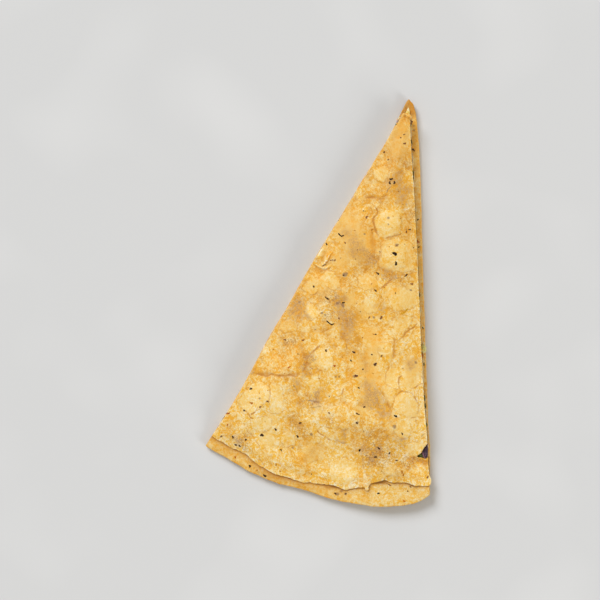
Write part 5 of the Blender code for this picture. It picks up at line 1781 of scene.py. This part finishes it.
def flecks(top_loop):
    """Herb and char flecks baked into the tortillas."""
    draws = np.random.default_rng(9)
    top_surface = top_face(top_loop)
    stroked = strokes(DARK_STROKES, 0.9, draws)
    spotted = round_flecks(DARK_SPOTS, (0.65, 0.95), draws)
    spotted += round_flecks(scattered(DARK_SCATTERED, draws), (0.5, 1), draws)
    dark = laid(spotted + stroked, top_surface, draws)
    dark += laid(round_flecks(LEDGE_SPOTS, (0.65, 0.95), draws), bottom_face, draws)
    spotted = round_flecks(BROWN_SPOTS, (0.6, 0.9), draws)
    spotted += round_flecks(scattered(BROWN_SCATTERED, draws), (0.5, 1), draws)
    brown = laid(spotted, top_surface, draws)
    brown += laid(strokes(BROWN_STROKES, 0.45, draws), top_surface, draws)
    brown += laid(strokes(RIM_STROKES, 0.5, draws), bottom_face, draws)
    yellow = laid(round_flecks(YELLOW_SPOTS, (0.6, 0.9), draws), top_surface, draws)
    red = laid(round_flecks(RED_SPOTS, (0.5, 0.8), draws), top_surface, draws)
    red += laid(round_flecks(ORANGE_DABS, (0.6, 0.9), draws), bottom_face, draws)
    green = laid(strokes(GREEN_STROKES, 0.6, draws), top_surface, draws)
    for name, solids, light, dark_tone in (
        ("char_flecks", dark, tone(96, 64, 42), tone(30, 18, 12)),
        ("brown_flecks", brown, tone(156, 104, 62), tone(108, 64, 40)),
        ("red_flecks", red, tone(222, 132, 30), tone(176, 80, 22)),
        ("green_flecks", green, tone(238, 186, 30), tone(214, 158, 24)),
        ("yellow_flecks", yellow, tone(228, 166, 62), tone(196, 128, 44)),
    ):
        piece = joined(name, solids, filling_paint(name + "_paint", light, dark_tone, 0.7, 0.0, 0.4))
        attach(piece, "root")


def camera():
    """Straight above the photograph's middle."""
    data = bpy.data.cameras.new("camera")
    data.sensor_width = SENSOR
    data.lens = SENSOR * (CAMERA_HEIGHT - SHARP_HEIGHT) / (PHOTO_SIDE * PIXEL)
    data.clip_end = 10.0
    made = in_scene("camera", data)
    x, y = place(*PHOTO_CENTRE)
    made.location = (x * MM, y * MM, CAMERA_HEIGHT * MM)
    bpy.context.scene.camera = made


def area_light(name, place_mm, size_mm, watts, colour):
    """A soft light aimed at the wedge."""
    data = bpy.data.lights.new(name, "AREA")
    data.shape = "DISK"
    data.size = size_mm * MM
    data.energy = watts
    data.color = colour
    made = in_scene(name, data)
    made.location = Vector(place_mm) * MM
    made.rotation_euler = (-Vector(place_mm)).to_track_quat("-Z", "Y").to_euler()


def studio():
    """A plain pale floor, a soft key light from the upper left and an even sky."""
    area_light("key", *KEY_LIGHT)
    area_light("fill", *FILL_LIGHT)
    world = bpy.data.worlds.new("studio")
    world.use_nodes = True
    background = world.node_tree.nodes["Background"]
    background.inputs["Color"].default_value = (*SKY_COLOUR, 1.0)
    background.inputs["Strength"].default_value = SKY_STRENGTH
    bpy.context.scene.world = world
    bpy.context.scene.view_settings.view_transform = "Standard"
    mesh = bmesh.new()
    bmesh.ops.create_grid(mesh, x_segments=1, y_segments=1, size=FLOOR_REACH * MM)
    data = bpy.data.meshes.new("floor")
    mesh.to_mesh(data)
    mesh.free()
    floor = in_scene("floor", data)
    paint = Paint("pale_floor", 0.75, 0.3)
    cloth = paint.speckle(60.0, 21, 2)
    floor.data.materials.append(paint.finish(paint.blend(cloth, *FLOOR_COLOURS)))
    floor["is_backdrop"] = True


camera()
studio()
top_loop = top_tortilla()
bottom_tortilla(top_loop)
filling_core()
cut_filling()
small_pieces()
flecks(top_loop)

bpy.context.view_layer.update()
boxes = {"cad": CAD_BOX, "visual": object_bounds()}
{name: [list(map(float, corner)) for corner in box] for name, box in boxes.items()}
